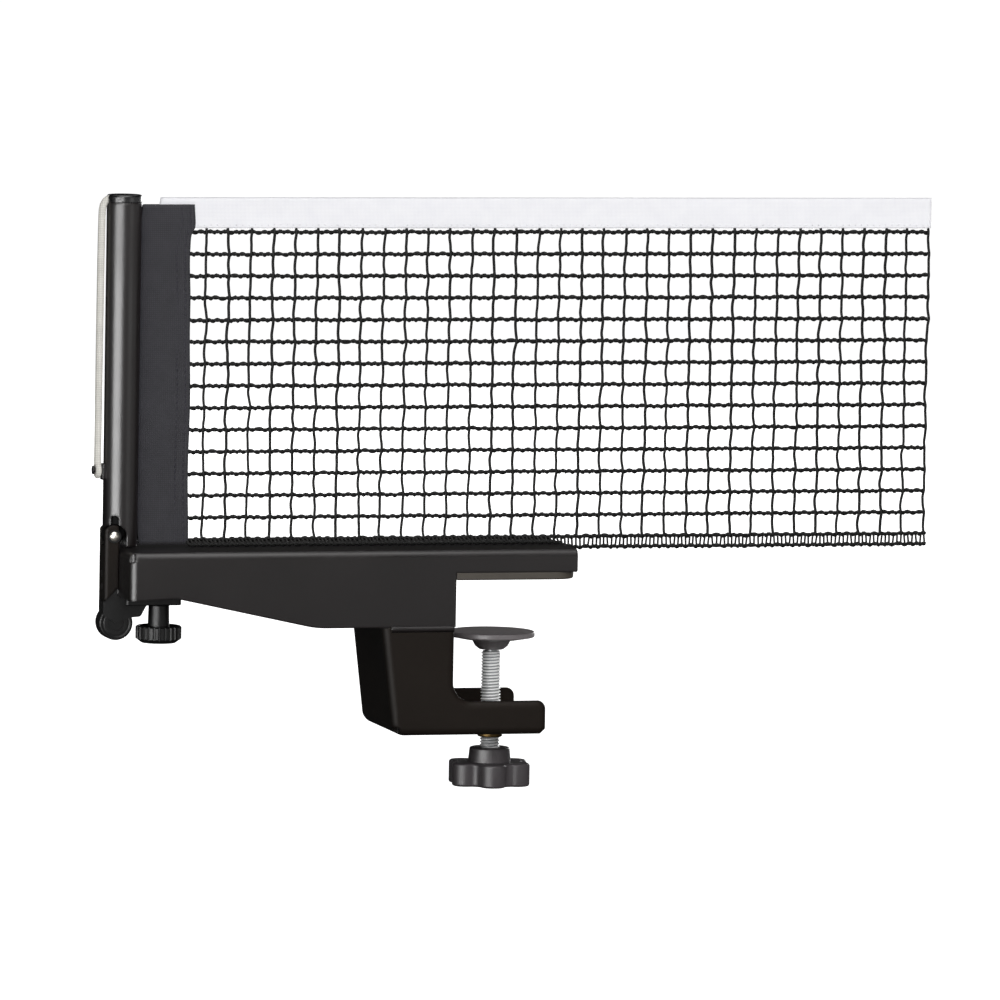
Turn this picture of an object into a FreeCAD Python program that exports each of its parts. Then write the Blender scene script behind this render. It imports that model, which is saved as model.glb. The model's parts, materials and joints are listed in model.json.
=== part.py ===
import FreeCAD, Part
import math
import os

V = FreeCAD.Vector

# Table tennis net clamp: the post, arm and screw clamp at one end of a net. All sizes are millimetres.
# The origin lies in the pad's underside, where the table's surface is. X runs from the post along the net,
# Z is up, and the plane Y = 0 holds the post, the net and both screws.

# Driving dimensions
NET_TOP = 152.5             # table surface to the tape's top edge, by the rules of the game
POST_X = -158.7             # axis of the post
ARM_WIDTH = 52.0            # over both flanges of the arm and the lower jaw
SHEET = 2.0                 # steel sheet of both channels
BEND = 3.0                  # outer radius of their bends
ARM_LEFT = -160.1
ARM_TOP = 12.2
THROAT = -25.7              # back of the clamp's mouth, where the table's edge comes
JAW_RIGHT = 24.8
JAW_BOTTOM = 3.0            # lower edge of the upper jaw's flanges, where the pad begins
ARM_DEEP = -18.8            # lower edge of the arm's deep end
LOWER_RIGHT = 13.0
LOWER_TOP = -48.9
LOWER_BOTTOM = -62.7
SCREW_X = -3.7
SCREW_R = 4.0               # M8 screw
TABLE_GAP = 23.2            # from the pad to the pressure disc, as photographed
TUBE_R = 7.0
TUBE_WALL = 1.2
TUBE_TOP = 150.5
PIVOT_X = -162.1
PIVOT_Z = 16.9
STUB_LEFT = -165.9          # outer face of the hinge channel's web
HEIGHT_X = -142.2           # axis of the height screw
HEIGHT_TRAVEL = 4.0
STUD_R = 3.0                # M6 stud
NET_RIGHT = 179.2           # where the photographed stretch of net ends
NET_LEFT = -131.3           # inner edge of the sleeve
TAPE_HEIGHT = 12.5
HEM_TOP = 15.9

RUNNING = 0.05              # radial clearance of a shaft in its hole
GAP = 0.2                   # clearance between flat faces that slide past each other


# Basic shapes

def box(x, y, z):
    """A box from three (low, high) pairs."""
    return Part.makeBox(x[1] - x[0], y[1] - y[0], z[1] - z[0], V(x[0], y[0], z[0]))


def rod(radius, start, end):
    """A round bar between two points."""
    start, end = V(*start), V(*end)
    return Part.makeCylinder(radius, (end - start).Length, start, end - start)


def upright(radius, x, z):
    """A round bar along Z in the plane Y = 0."""
    return rod(radius, (x, 0, z[0]), (x, 0, z[1]))


def across(radius, x, z, y):
    """A round bar along Y."""
    return rod(radius, (x, y[0], z), (x, y[1], z))


def rounded_wire(corners):
    """A closed wire in the XZ plane. Each corner is (x, z, radius), and a radius of 0 leaves it sharp."""
    starts, ends, arcs = [], [], []
    count = len(corners)
    for i, (x, z, radius) in enumerate(corners):
        here = V(x, 0, z)
        back = V(corners[i - 1][0], 0, corners[i - 1][1]) - here
        ahead = V(corners[(i + 1) % count][0], 0, corners[(i + 1) % count][1]) - here
        back.normalize()
        ahead.normalize()
        half = back.getAngle(ahead) / 2
        cut = radius / math.tan(half)
        middle = back + ahead
        if radius > 0:
            middle.normalize()
            near = here + middle * (radius / math.sin(half) - radius)
            arcs.append((here + back * cut, near, here + ahead * cut))
        else:
            arcs.append(None)
        starts.append(here + back * cut)
        ends.append(here + ahead * cut)
    edges = []
    for i in range(count):
        if arcs[i]:
            edges.append(Part.Arc(*arcs[i]).toShape())
        following = starts[(i + 1) % count]
        if (following - ends[i]).Length > 1e-6:
            edges.append(Part.LineSegment(ends[i], following).toShape())
    return Part.Wire(edges)


def slab(corners, y):
    """The outline in the XZ plane, extruded along Y."""
    face = Part.Face(rounded_wire(corners))
    face.translate(V(0, y[0], 0))
    return face.extrude(V(0, y[1] - y[0], 0))


def turned(corners, x):
    """The outline of (radius, z, corner radius) turned about the vertical line through (x, 0)."""
    solid = Part.Face(rounded_wire(corners)).revolve(V(0, 0, 0), V(0, 0, 1), 360)
    solid.translate(V(x, 0, 0))
    return solid


def pick(shape, test):
    """The edges for which test(middle point, bounding box) is true."""
    chosen = []
    for edge in shape.Edges:
        span = edge.ParameterRange
        if test(edge.valueAt((span[0] + span[1]) / 2), edge.BoundBox):
            chosen.append(edge)
    return chosen


def one_solid(shape):
    """The shape's single solid, with faces that continue each other joined."""
    return shape.removeSplitter().Solids[0]


# Bracket: arm, lower jaw, pad and nuts

GUIDE_Z = (-3.8, 1.6)       # the two guide rivets at rest
GUIDE_R = 1.5
NECK_TOP = -7.0             # the foot's neck, in the notch of the arm's folded end, at rest
NOTCH_HALF = 4.4
STEP = ARM_WIDTH / 2


def bent_box(x, z, inset, radius):
    """A long box with rounded top edges and a rounded left end, drawn in by inset all round."""
    side = STEP - inset
    shape = box((x[0] + inset, x[1]), (-side, side), (z[0], z[1] - inset))
    low, top = x[0] + inset, z[1] - inset

    def on_bend(middle, bound):
        on_end = middle.x < low + 0.01
        on_rim = abs(abs(middle.y) - side) < 0.01 or on_end
        along_top = abs(middle.z - top) < 0.01 and on_rim and middle.x < x[1] - 0.01
        return along_top or (on_end and bound.ZLength > 5)

    return shape.makeFillet(radius, pick(shape, on_bend))


def arm_channel():
    """Pressed channel, open below: top web, two flanges and a folded left end."""
    reach = (ARM_LEFT, JAW_RIGHT + 5)
    shell = bent_box(reach, (-30, ARM_TOP), 0, BEND)
    shell = shell.cut(bent_box(reach, (-31, ARM_TOP), SHEET, BEND - SHEET))
    side = slab([(ARM_LEFT - 2, ARM_TOP + 2, 0), (JAW_RIGHT, ARM_TOP + 2, 0), (JAW_RIGHT, JAW_BOTTOM, 0.8),
                 (THROAT, JAW_BOTTOM, 0), (THROAT, ARM_DEEP, 0), (-83.4, ARM_DEEP, 40),
                 (-141.3, -6.3, 8), (ARM_LEFT - 2, -7.4, 0)], (-STEP - 1, STEP + 1))
    arm = shell.common(side)
    relief_x = ARM_LEFT + 0.9
    for y in (-STEP + 0.9, STEP - 0.9):
        arm = arm.cut(rod(1.3, (relief_x, y, ARM_TOP - 4), (relief_x, y, ARM_TOP + 1)))
    guide_slot = box((ARM_LEFT - 1, ARM_LEFT + SHEET + 1), (-GUIDE_R - 0.1, GUIDE_R + 0.1),
                     (GUIDE_Z[0], GUIDE_Z[1] + HEIGHT_TRAVEL))
    for z in (GUIDE_Z[0], GUIDE_Z[1] + HEIGHT_TRAVEL):
        end = rod(GUIDE_R + 0.1, (ARM_LEFT - 1, 0, z), (ARM_LEFT + SHEET + 1, 0, z))
        guide_slot = guide_slot.fuse(end)
    notch = box((ARM_LEFT - 1, ARM_LEFT + SHEET + 1), (-NOTCH_HALF, NOTCH_HALF),
                (-9, NECK_TOP + HEIGHT_TRAVEL + 0.4))
    corners = pick(notch, lambda middle, bound: middle.z > NECK_TOP and bound.XLength > 1)
    notch = notch.makeFillet(1.0, corners)
    return one_solid(arm.cut([guide_slot, notch]))


WEB_SLANT = 0.12            # the lower jaw's left web leans in by this much per millimetre
WEB_TOP_X = -55.9           # its outer face at the arm's lower edge
WEB_FOOT_X = WEB_TOP_X + WEB_SLANT * (ARM_DEEP - LOWER_BOTTOM)
BUSH_R = 5.0


def web_x(z):
    """Outer face of the slanted web at a height."""
    return WEB_TOP_X + WEB_SLANT * (ARM_DEEP - z)


def lower_jaw():
    """Channel bent to a C: slanted left web, bottom web, and two L shaped flanges."""
    outer = slab([(WEB_TOP_X, ARM_DEEP, 0), (THROAT, ARM_DEEP, 0), (THROAT, LOWER_TOP, 7.5),
                  (LOWER_RIGHT, LOWER_TOP, 3.7), (LOWER_RIGHT, LOWER_BOTTOM + 2.1, 0.3),
                  (LOWER_RIGHT - 2.2, LOWER_BOTTOM, 0.3), (WEB_FOOT_X, LOWER_BOTTOM, 5.5)], (-STEP, STEP))

    def on_bend(middle, bound):
        if abs(abs(middle.y) - STEP) > 0.01 or bound.YLength > 0.01:
            return False
        on_web = abs(middle.x - web_x(middle.z)) < 0.05 and middle.z < ARM_DEEP - 1
        on_floor = abs(middle.z - LOWER_BOTTOM) < 0.05
        on_corner = middle.x < WEB_FOOT_X + 5 and middle.z < LOWER_BOTTOM + 5
        return on_web or on_floor or on_corner

    outer = outer.makeFillet(BEND, pick(outer, on_bend))
    inside = STEP - SHEET
    hollow = slab([(web_x(0) + SHEET, 0, 0), (LOWER_RIGHT + 5, 0, 0),
                   (LOWER_RIGHT + 5, LOWER_BOTTOM + SHEET, 0),
                   (web_x(LOWER_BOTTOM + SHEET) + SHEET, LOWER_BOTTOM + SHEET, 3.5)], (-inside, inside))
    jaw = outer.cut(hollow)
    tongue = slab([(web_x(4), 4, 0), (web_x(4) + SHEET, 4, 0),
                   (web_x(-20) + SHEET, -20, 0), (web_x(-20), -20, 0)], (-inside + 0.1, inside - 0.1))
    jaw = jaw.fuse(tongue)
    for y in (-STEP, STEP - 3):
        jaw = jaw.cut(across(1.4, web_x(-60) + 1.6, -60.6, (y, y + 3)))
    jaw = jaw.cut(upright(BUSH_R, SCREW_X, (LOWER_BOTTOM - 1, LOWER_BOTTOM + SHEET + 1)))
    return one_solid(jaw)


def seam_welds():
    """Two flat weld beads over the seam between the arm and the lower jaw."""
    beads = []
    for side in (-1, 1):
        bead = rod(1.7, (WEB_TOP_X + 3.5, side * (STEP - 1.1), ARM_DEEP - 0.7),
                   (THROAT - 0.6, side * (STEP - 1.1), ARM_DEEP - 0.7))
        bead = bead.common(box((-70, 0), sorted((side * STEP, side * (STEP + 5))), (-30, 0)))
        beads.append(bead.Solids[0])
    return Part.Compound(beads)


def jaw_pad():
    """Moulded pad under the upper jaw, with a ribbed plug that fits up between the flanges."""
    plate = box((THROAT + 0.2, JAW_RIGHT + 0.4), (-STEP, STEP), (0, JAW_BOTTOM))
    free_corners = pick(plate, lambda middle, bound: middle.x > JAW_RIGHT and bound.ZLength > 2)
    plate = plate.makeFillet(9, free_corners)
    plate = plate.makeChamfer(0.5, pick(plate, lambda middle, bound: middle.z < 0.01))
    inside = STEP - SHEET
    roof = ARM_TOP - SHEET
    plug = box((THROAT + 2, JAW_RIGHT - 2), (-inside, inside), (JAW_BOTTOM, roof))
    long_edges = pick(plug, lambda middle, bound: middle.z > roof - 0.01 and bound.XLength > 5)
    plug = plug.makeChamfer(1.2, long_edges)
    cells = 4
    wall = 2.0
    width = (JAW_RIGHT - THROAT - 4 - wall) / cells
    for i in range(cells):
        left = THROAT + 2 + wall + i * width
        for side in (-1, 1):
            cell = box((left, left + width - wall), sorted((side * wall / 2, side * (inside - wall))),
                       (JAW_BOTTOM, ARM_TOP))
            plug = plug.cut(cell)
    return one_solid(plate.fuse(plug))


def screw_bush():
    """Threaded bush pressed into the lower jaw's web, with its collar inside."""
    floor = LOWER_BOTTOM + SHEET
    bore = SCREW_R + RUNNING
    return turned([(bore, LOWER_BOTTOM - 3.5, 0.4), (BUSH_R, LOWER_BOTTOM - 3.5, 0.5), (BUSH_R, floor, 0),
                   (BUSH_R + 2, floor, 0), (BUSH_R + 2, floor + 3, 0.6), (bore, floor + 3, 0.4)], SCREW_X)


BRIDGE_Z = -2.6


def screw_bridge():
    """Strap welded across the arm's inside, with turned up ends, that carries the height nut."""
    inside = STEP - SHEET
    strap = box((HEIGHT_X - 8, HEIGHT_X + 8), (-inside, inside), (BRIDGE_Z, BRIDGE_Z + 8))
    strap = strap.cut(box((HEIGHT_X - 9, HEIGHT_X + 9), (-inside + SHEET, inside - SHEET),
                          (BRIDGE_Z + SHEET, BRIDGE_Z + 9)))
    return one_solid(strap.cut(upright(STUD_R + 0.4, HEIGHT_X, (BRIDGE_Z - 1, BRIDGE_Z + 3))))


def hexagon(flats, x, z):
    """Upright hexagonal prism with two flats facing Y."""
    radius = flats / math.sqrt(3)
    angles = [math.pi / 3 * i for i in range(7)]
    points = [V(x + radius * math.cos(a), radius * math.sin(a), z[0]) for a in angles]
    return Part.Face(Part.makePolygon(points)).extrude(V(0, 0, z[1] - z[0]))


def height_nut():
    """M6 nut on the strap."""
    base = BRIDGE_Z + SHEET
    nut = hexagon(10, HEIGHT_X, (base, base + 5))
    chamfer = turned([(0, base - 1, 0), (7, base - 1, 0), (7, base + 3.7, 0),
                      (4.8, base + 5, 0), (0, base + 5, 0)], HEIGHT_X)
    nut = nut.common(chamfer)
    return one_solid(nut.cut(upright(STUD_R + RUNNING, HEIGHT_X, (base - 1, base + 6))))


# Clamp: disc, screw and knob

DISC_R = 17.5
BALL_R = 3.2
BALL_Z = -TABLE_GAP - 4.1
HUB_FOOT = -TABLE_GAP - 7.4
KNOB_TOP = -70.5
KNOB_REST_TURN = -98.5      # direction of one lobe at rest


def pressure_disc():
    """Turned disc that presses under the table, with a hub that holds the screw's ball."""
    top = -TABLE_GAP
    body = turned([(0, top, 0), (DISC_R, top, 0.5), (DISC_R, top - 2.1, 0.5), (11.2, top - 3.3, 3),
                   (7.9, top - 3.6, 0.8), (6.7, top - 6.0, 1.0), (4.9, HUB_FOOT, 0.4),
                   (0, HUB_FOOT, 0)], SCREW_X)
    socket = Part.makeSphere(BALL_R + RUNNING, V(SCREW_X, 0, BALL_Z))
    mouth = upright(2.9, SCREW_X, (HUB_FOOT - 1, BALL_Z))
    return one_solid(body.cut(socket.fuse(mouth)))


def clamp_screw():
    """M8 screw with a necked ball tip."""
    shoulder = HUB_FOOT - 0.6
    foot_z = KNOB_TOP - 11
    shank = turned([(0, foot_z, 0), (SCREW_R, foot_z, 0), (SCREW_R, shoulder, 0.7),
                    (0, shoulder, 0)], SCREW_X)
    neck = upright(2.4, SCREW_X, (shoulder - 0.5, BALL_Z))
    ball = Part.makeSphere(BALL_R, V(SCREW_X, 0, BALL_Z))
    return one_solid(shank.fuse([neck, ball]))


def lobed_face(lobes, reach, lobe_r, valley_r, z):
    """Face with round lobes that pass into round valleys without a corner."""
    lobe_d = reach - lobe_r
    half = math.pi / lobes
    lean = lobe_d * math.cos(half)
    valley_d = lean + math.sqrt(lean ** 2 - lobe_d ** 2 + (lobe_r + valley_r) ** 2)

    def at(distance, angle):
        return V(distance * math.cos(angle), distance * math.sin(angle), z)

    def meeting(angle, side):
        lobe, valley = at(lobe_d, angle), at(valley_d, angle + side * half)
        return lobe + (valley - lobe) * (lobe_r / (lobe_r + valley_r))

    edges = []
    for i in range(lobes):
        angle = 2 * half * i
        edges.append(Part.Arc(meeting(angle, -1), at(reach, angle), meeting(angle, 1)).toShape())
        edges.append(Part.Arc(meeting(angle, 1), at(valley_d - valley_r, angle + half),
                              meeting(angle + 2 * half, -1)).toShape())
    return Part.Face(Part.Wire(edges))


def star_knob():
    """Moulded knob with six lobes, a tapered hub and a cored underside."""
    foot, lobe_top = KNOB_TOP - 15.2, KNOB_TOP - 5.8
    star = lobed_face(6, 17.4, 5.4, 3.0, foot).extrude(V(0, 0, lobe_top - foot))
    rims = pick(star, lambda middle, bound: bound.ZLength < 0.01)
    star = star.makeFillet(1.0, rims)
    hub = turned([(0, lobe_top - 2, 0), (8.9, lobe_top - 2, 0), (8.1, KNOB_TOP, 0.8), (0, KNOB_TOP, 0)], 0)
    core = turned([(0, foot - 1, 0), (11.0, foot - 1, 0), (10.4, foot + 5, 0.8), (0, foot + 5, 0)], 0)
    knob = star.fuse(hub).cut(core)
    boss = turned([(0, foot + 0.6, 0), (6.2, foot + 0.6, 0.5), (6.5, foot + 6, 0), (0, foot + 6, 0)], 0)
    knob = knob.fuse(boss).cut(rod(SCREW_R, (0, 0, KNOB_TOP - 11), (0, 0, KNOB_TOP + 1)))
    knob.rotate(V(0, 0, 0), V(0, 0, 1), KNOB_REST_TURN)
    knob.translate(V(SCREW_X, 0, 0))
    return one_solid(knob)


# Height adjuster: hinge channel, foot, guide rivets, stud and wheel

STUB_RIGHT = ARM_LEFT - GAP
STUB_SHEET = 1.5
STUB_HALF = 5.5             # half the width over the cheeks
STUB_FOOT = -9.4
CHEEK_FOOT = -3.6           # the cheeks' lower ends rise to this at the arm's side
CHEEK_R = 4.4
CHANNEL_HALF = STUB_HALF - STUB_SHEET
HINGE_R = 1.6
BOSS_X, BOSS_Z, BOSS_R = -160.6, -18.1, 6.9
EAR_HALF = 5.5
EAR_TOP, EAR_BOTTOM = -8.2, -11.1


def skew_z(x):
    """Height of the channel's slanted lower end."""
    return STUB_FOOT + (x - STUB_LEFT) * (CHEEK_FOOT - STUB_FOOT) / (STUB_RIGHT - STUB_LEFT)


def hinge_channel():
    """Narrow channel outside the arm's left end, whose two round topped cheeks hold the post."""
    blank = box((STUB_LEFT, STUB_RIGHT), (-STUB_HALF, STUB_HALF), (STUB_FOOT, PIVOT_Z + CHEEK_R))
    web_edges = pick(blank, lambda middle, bound: middle.x < STUB_LEFT + 0.01 and bound.ZLength > 5)
    blank = blank.makeFillet(1.4, web_edges)
    sides = slab([(STUB_LEFT, STUB_FOOT, 0), (STUB_RIGHT, CHEEK_FOOT, 0), (STUB_RIGHT, PIVOT_Z, 0),
                  (STUB_LEFT, PIVOT_Z, 0)], (-STUB_HALF, STUB_HALF))
    top = across(CHEEK_R, PIVOT_X, PIVOT_Z, (-STUB_HALF, STUB_HALF))
    body = blank.common(top.fuse(sides))
    inner = (-CHANNEL_HALF, CHANNEL_HALF)
    body = body.cut(box((STUB_LEFT + STUB_SHEET, 0), inner, (STUB_FOOT - 1, 30)))
    body = body.cut(box((STUB_LEFT - 1, 0), inner, (PIVOT_Z - 4.1, 30)))
    body = body.cut(across(HINGE_R, PIVOT_X, PIVOT_Z, (-9, 9)))
    for z in GUIDE_Z:
        body = body.cut(rod(GUIDE_R, (STUB_LEFT - 1, 0, z), (0, 0, z)))
    return one_solid(body)


def foot():
    """Moulded foot: round boss, a column inside the hinge channel, and the ear that the stud turns in."""
    thick = (-CHANNEL_HALF, CHANNEL_HALF)
    boss = across(BOSS_R, BOSS_X, BOSS_Z, thick)
    boss = boss.makeFillet(0.7, pick(boss, lambda middle, bound: bound.YLength < 0.01))
    for side in (-1, 1):
        dish = Part.makeTorus(5.2, 0.9, V(BOSS_X, side * (CHANNEL_HALF + 0.5), BOSS_Z), V(0, 1, 0))
        beyond = side * (CHANNEL_HALF + 1)
        cup = across(5.2, BOSS_X, BOSS_Z, sorted((side * (CHANNEL_HALF - 0.3), beyond)))
        pip = across(3.2, BOSS_X, BOSS_Z, sorted((side * (CHANNEL_HALF - 0.8), beyond)))
        boss = boss.cut([cup, dish, pip])
    neck_right = -157.0
    heel = STUB_LEFT - 0.1
    web_inside = STUB_LEFT + STUB_SHEET
    body = slab([(heel, skew_z(heel), 0), (web_inside, skew_z(web_inside), 0), (web_inside, 5.0, 0),
                 (STUB_RIGHT, 5.0, 0), (STUB_RIGHT, NECK_TOP, 0), (neck_right, NECK_TOP, 0.4),
                 (neck_right, EAR_TOP, 0.4), (HEIGHT_X, EAR_TOP, 0), (HEIGHT_X, EAR_BOTTOM, 0),
                 (-148.2, EAR_BOTTOM, 0.8), (-150.6, -15.6, 1.6), (-154.8, -15.9, 0),
                 (BOSS_X, BOSS_Z, 0), (heel, BOSS_Z + 3.1, 0)], thick)
    ear = box((neck_right, HEIGHT_X + 8.1), (-EAR_HALF, EAR_HALF), (EAR_BOTTOM, EAR_TOP))
    ear = ear.makeFillet(1.2, pick(ear, lambda middle, bound: bound.ZLength > 2))
    ear = ear.makeFillet(0.5, pick(ear, lambda middle, bound: bound.ZLength < 0.01))
    body = body.fuse([boss, ear])
    body = body.cut(upright(STUD_R + RUNNING, HEIGHT_X, (-20, 0)))
    for z in GUIDE_Z:
        body = body.cut(rod(GUIDE_R, (STUB_LEFT - 1, 0, z), (0, 0, z)))
    return one_solid(body)


KEEPER_X = ARM_LEFT + SHEET + GAP


def guide_plate():
    """Keeper plate inside the arm, behind the slot in its folded end."""
    plate = box((KEEPER_X, KEEPER_X + 1.2), (-3.6, 3.6), (GUIDE_Z[0] - 2.6, GUIDE_Z[1] + 2.6))
    plate = plate.makeFillet(1.2, pick(plate, lambda middle, bound: bound.XLength > 1))
    for z in GUIDE_Z:
        plate = plate.cut(rod(GUIDE_R, (KEEPER_X - 1, 0, z), (KEEPER_X + 2, 0, z)))
    return one_solid(plate)


def guide_rivets():
    """Two rivets through the hinge channel, the column and the keeper plate."""
    rivets = []
    for z in GUIDE_Z:
        shank = rod(GUIDE_R, (STUB_LEFT, 0, z), (KEEPER_X + 1.2, 0, z))
        head = rod(2.4, (KEEPER_X + 1.2, 0, z), (KEEPER_X + 2.1, 0, z))
        rim = pick(head, lambda middle, bound: middle.x > KEEPER_X + 2.05 and bound.XLength < 0.01)
        head = head.makeFillet(0.5, rim)
        rivets.append(one_solid(shank.fuse(head)))
    return Part.Compound(rivets)


WASHER_R = 2.6
WASHER = 0.5


def hinge_rivet():
    """Pivot of the post, with a domed head at each end."""
    side = STUB_HALF + WASHER
    pin = across(HINGE_R, PIVOT_X, PIVOT_Z, (-side, side))
    for sign in (-1, 1):
        ball = Part.makeSphere(2.3, V(PIVOT_X, sign * (side - 1.3), PIVOT_Z))
        head = ball.common(across(3, PIVOT_X, PIVOT_Z, sorted((sign * side, sign * (side + 3)))))
        pin = pin.fuse(head)
    return one_solid(pin)


def hinge_washers():
    """A washer under each head of the pivot."""
    washers = []
    for sign in (-1, 1):
        span = sorted((sign * STUB_HALF, sign * (STUB_HALF + WASHER)))
        ring = across(WASHER_R, PIVOT_X, PIVOT_Z, span).cut(across(HINGE_R, PIVOT_X, PIVOT_Z, (-9, 9)))
        washers.append(ring.Solids[0])
    return Part.Compound(washers)


WHEEL_R = 9.25
WHEEL_TOP, WHEEL_FOOT = -19.6, -26.4
CLIP = (EAR_TOP + 0.15, EAR_TOP + 0.95)


def height_stud():
    """M6 stud with the groove for its clip."""
    top = BRIDGE_Z + SHEET + 6.4
    stud = turned([(0, WHEEL_FOOT + 3, 0), (STUD_R, WHEEL_FOOT + 3, 0), (STUD_R, top, 0.6),
                   (0, top, 0)], HEIGHT_X)
    groove = upright(5, HEIGHT_X, CLIP).cut(upright(STUD_R - 0.5, HEIGHT_X, CLIP))
    return one_solid(stud.cut(groove))


def stud_clip():
    """Open clip in the stud's groove, above the ear."""
    clip = upright(5.0, HEIGHT_X, CLIP).cut(upright(STUD_R - 0.5, HEIGHT_X, CLIP))
    mouth = box((HEIGHT_X, HEIGHT_X + 6), (-2.2, 2.2), CLIP)
    return one_solid(clip.cut(mouth))


def ribbed_prism(ribs, radius, depth, x, z):
    """Upright prism whose side has straight grip ribs."""
    points = []
    for i in range(ribs):
        for share, drop in ((0.0, 0), (0.5, 0), (0.66, depth), (0.84, depth)):
            angle = 2 * math.pi * (i + share) / ribs
            reach = radius - drop
            points.append(V(x + reach * math.cos(angle), reach * math.sin(angle), z[0]))
    return Part.Face(Part.makePolygon(points + points[:1])).extrude(V(0, 0, z[1] - z[0]))


def height_wheel():
    """Moulded wheel: ribbed cup rim and a tall hub up to the ear."""
    rim = ribbed_prism(26, WHEEL_R, 0.45, HEIGHT_X, (WHEEL_FOOT, WHEEL_TOP))
    reach = WHEEL_R + 0.2
    lens = turned([(0, WHEEL_FOOT, 0), (WHEEL_R - 2.4, WHEEL_FOOT, 0), (reach, WHEEL_FOOT + 1.9, 0),
                   (reach, WHEEL_TOP - 0.7, 0), (WHEEL_R - 0.6, WHEEL_TOP, 0),
                   (0, WHEEL_TOP, 0)], HEIGHT_X)
    rim = rim.common(lens)
    cup = turned([(0, WHEEL_TOP + 1, 0), (0, WHEEL_TOP - 4.2, 0), (7.3, WHEEL_TOP - 4.2, 0.8),
                  (8.2, WHEEL_TOP + 1, 0)], HEIGHT_X)
    hub = turned([(0, WHEEL_FOOT + 2, 0), (4.5, WHEEL_FOOT + 2, 0), (4.15, EAR_BOTTOM - 0.15, 0.4),
                  (0, EAR_BOTTOM - 0.15, 0)], HEIGHT_X)
    wheel = rim.cut(cup).fuse(hub)
    return one_solid(wheel.cut(upright(STUD_R, HEIGHT_X, (WHEEL_FOOT + 3, 0))))


# Post: slotted tube, tongue, cap, lug and cord

TUBE_FOOT = ARM_TOP + 0.5
BORE_R = TUBE_R - TUBE_WALL
CLEAR_R = CHEEK_R + 0.35    # the tube's cut-out round the cheeks
SLOT_HALF = 1.7             # the long slot that the sleeve passes through
PLUG_TOP = 30.0
CAP_FOOT = 144.0
CORD_R = 1.5
CORD_X = -168.2


def post_tube():
    """Round tube, slotted along the net's side and cut out round the hinge's cheeks."""
    length = (TUBE_FOOT, TUBE_TOP)
    tube = upright(TUBE_R, POST_X, length).cut(upright(BORE_R, POST_X, length))
    tube = tube.cut(box((POST_X, POST_X + 9), (-SLOT_HALF, SLOT_HALF), (0, TUBE_TOP + 1)))
    tube = tube.cut(across(CLEAR_R, PIVOT_X, PIVOT_Z, (-9, 9)))
    tube = tube.cut(box((POST_X - 9, PIVOT_X + CLEAR_R), (-9, 9), (0, PIVOT_Z)))
    keyhole = box((PIVOT_X - 1.4, PIVOT_X + 1.4), (-9, 9), (PIVOT_Z, PIVOT_Z + 6.9))
    tube = tube.cut(keyhole.fuse(across(1.4, PIVOT_X, PIVOT_Z + 6.9, (-9, 9))))
    notch = box((POST_X - 9, POST_X), (-CORD_R - 0.3, CORD_R + 0.3), (TUBE_TOP - 3, TUBE_TOP + 1))
    return one_solid(tube.cut(notch))


def tube_plug():
    """Plug pressed into the tube's lower end, with a flat tongue that turns between the cheeks."""
    plug = upright(BORE_R, POST_X, (PIVOT_Z + CLEAR_R + 0.2, PLUG_TOP))
    half = STUB_HALF - STUB_SHEET - 0.1
    tongue = box((PIVOT_X - 2.2, PIVOT_X + 4.4), (-half, half), (PIVOT_Z, PIVOT_Z + 7))
    in_tube = upright(BORE_R, POST_X, (PIVOT_Z, PLUG_TOP))
    tongue = tongue.common(in_tube.fuse(across(CLEAR_R - 0.1, PIVOT_X, PIVOT_Z, (-half, half))))
    plug = plug.fuse([tongue, across(3.5, PIVOT_X, PIVOT_Z, (-half, half))])
    return one_solid(plug.cut(across(HINGE_R + RUNNING, PIVOT_X, PIVOT_Z, (-9, 9))))


def post_cap():
    """Cap with a skirt inside the tube and a groove that leads the cord over its edge."""
    cap = turned([(0, CAP_FOOT, 0), (BORE_R, CAP_FOOT, 0.5), (BORE_R, TUBE_TOP, 0),
                  (TUBE_R + 0.1, TUBE_TOP, 0.3), (TUBE_R + 0.05, TUBE_TOP + 3.0, 0.8),
                  (0, TUBE_TOP + 3.4, 0)], POST_X)
    groove_half = CORD_R + 0.25
    groove = box((POST_X - 9, POST_X + 1.6), (-groove_half, groove_half), (CAP_FOOT - 1, TUBE_TOP + 5))
    return one_solid(cap.cut(groove))


EYE_Z = 43.2
EYE_R = 2.3                 # middle of the eye's round
EYE_WIRE = 1.2


def hook_lug():
    """Lug riveted to the tube's outer side, on whose stem the cord's eye hangs."""
    wall = POST_X - TUBE_R
    base = box((wall - 0.9, wall + 1.2), (-2.2, 2.2), (EYE_Z - 3.9, EYE_Z + 2.6))
    base = base.makeFillet(0.7, pick(base, lambda middle, bound: bound.XLength > 1))
    base = base.cut(upright(TUBE_R, POST_X, (0, 90)))
    stem = rod(1.0, (wall - 0.5, 0, EYE_Z), (CORD_X - EYE_WIRE - 0.2, 0, EYE_Z))
    head = rod(1.7, (CORD_X - EYE_WIRE - 0.2, 0, EYE_Z), (CORD_X - EYE_WIRE - 0.9, 0, EYE_Z))
    return one_solid(base.fuse([stem, head]))


def cord_eye():
    """Sewn eye at the cord's lower end."""
    ring = Part.makeTorus(EYE_R, EYE_WIRE, V(CORD_X, 0, EYE_Z), V(1, 0, 0))
    neck = upright(CORD_R, CORD_X, (EYE_Z + EYE_R, EYE_Z + EYE_R + 3))
    clear = rod(EYE_R, (CORD_X - 3, 0, EYE_Z), (CORD_X + 3, 0, EYE_Z))
    return one_solid(ring.fuse(neck.cut(clear)))


CORD_ROUTE = [(-160.6, CAP_FOOT - 1), (-160.6, 151.9), (-167.3, 151.9), (-168.1, 142.0),
              (CORD_X, EYE_Z + EYE_R + 3)]


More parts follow.
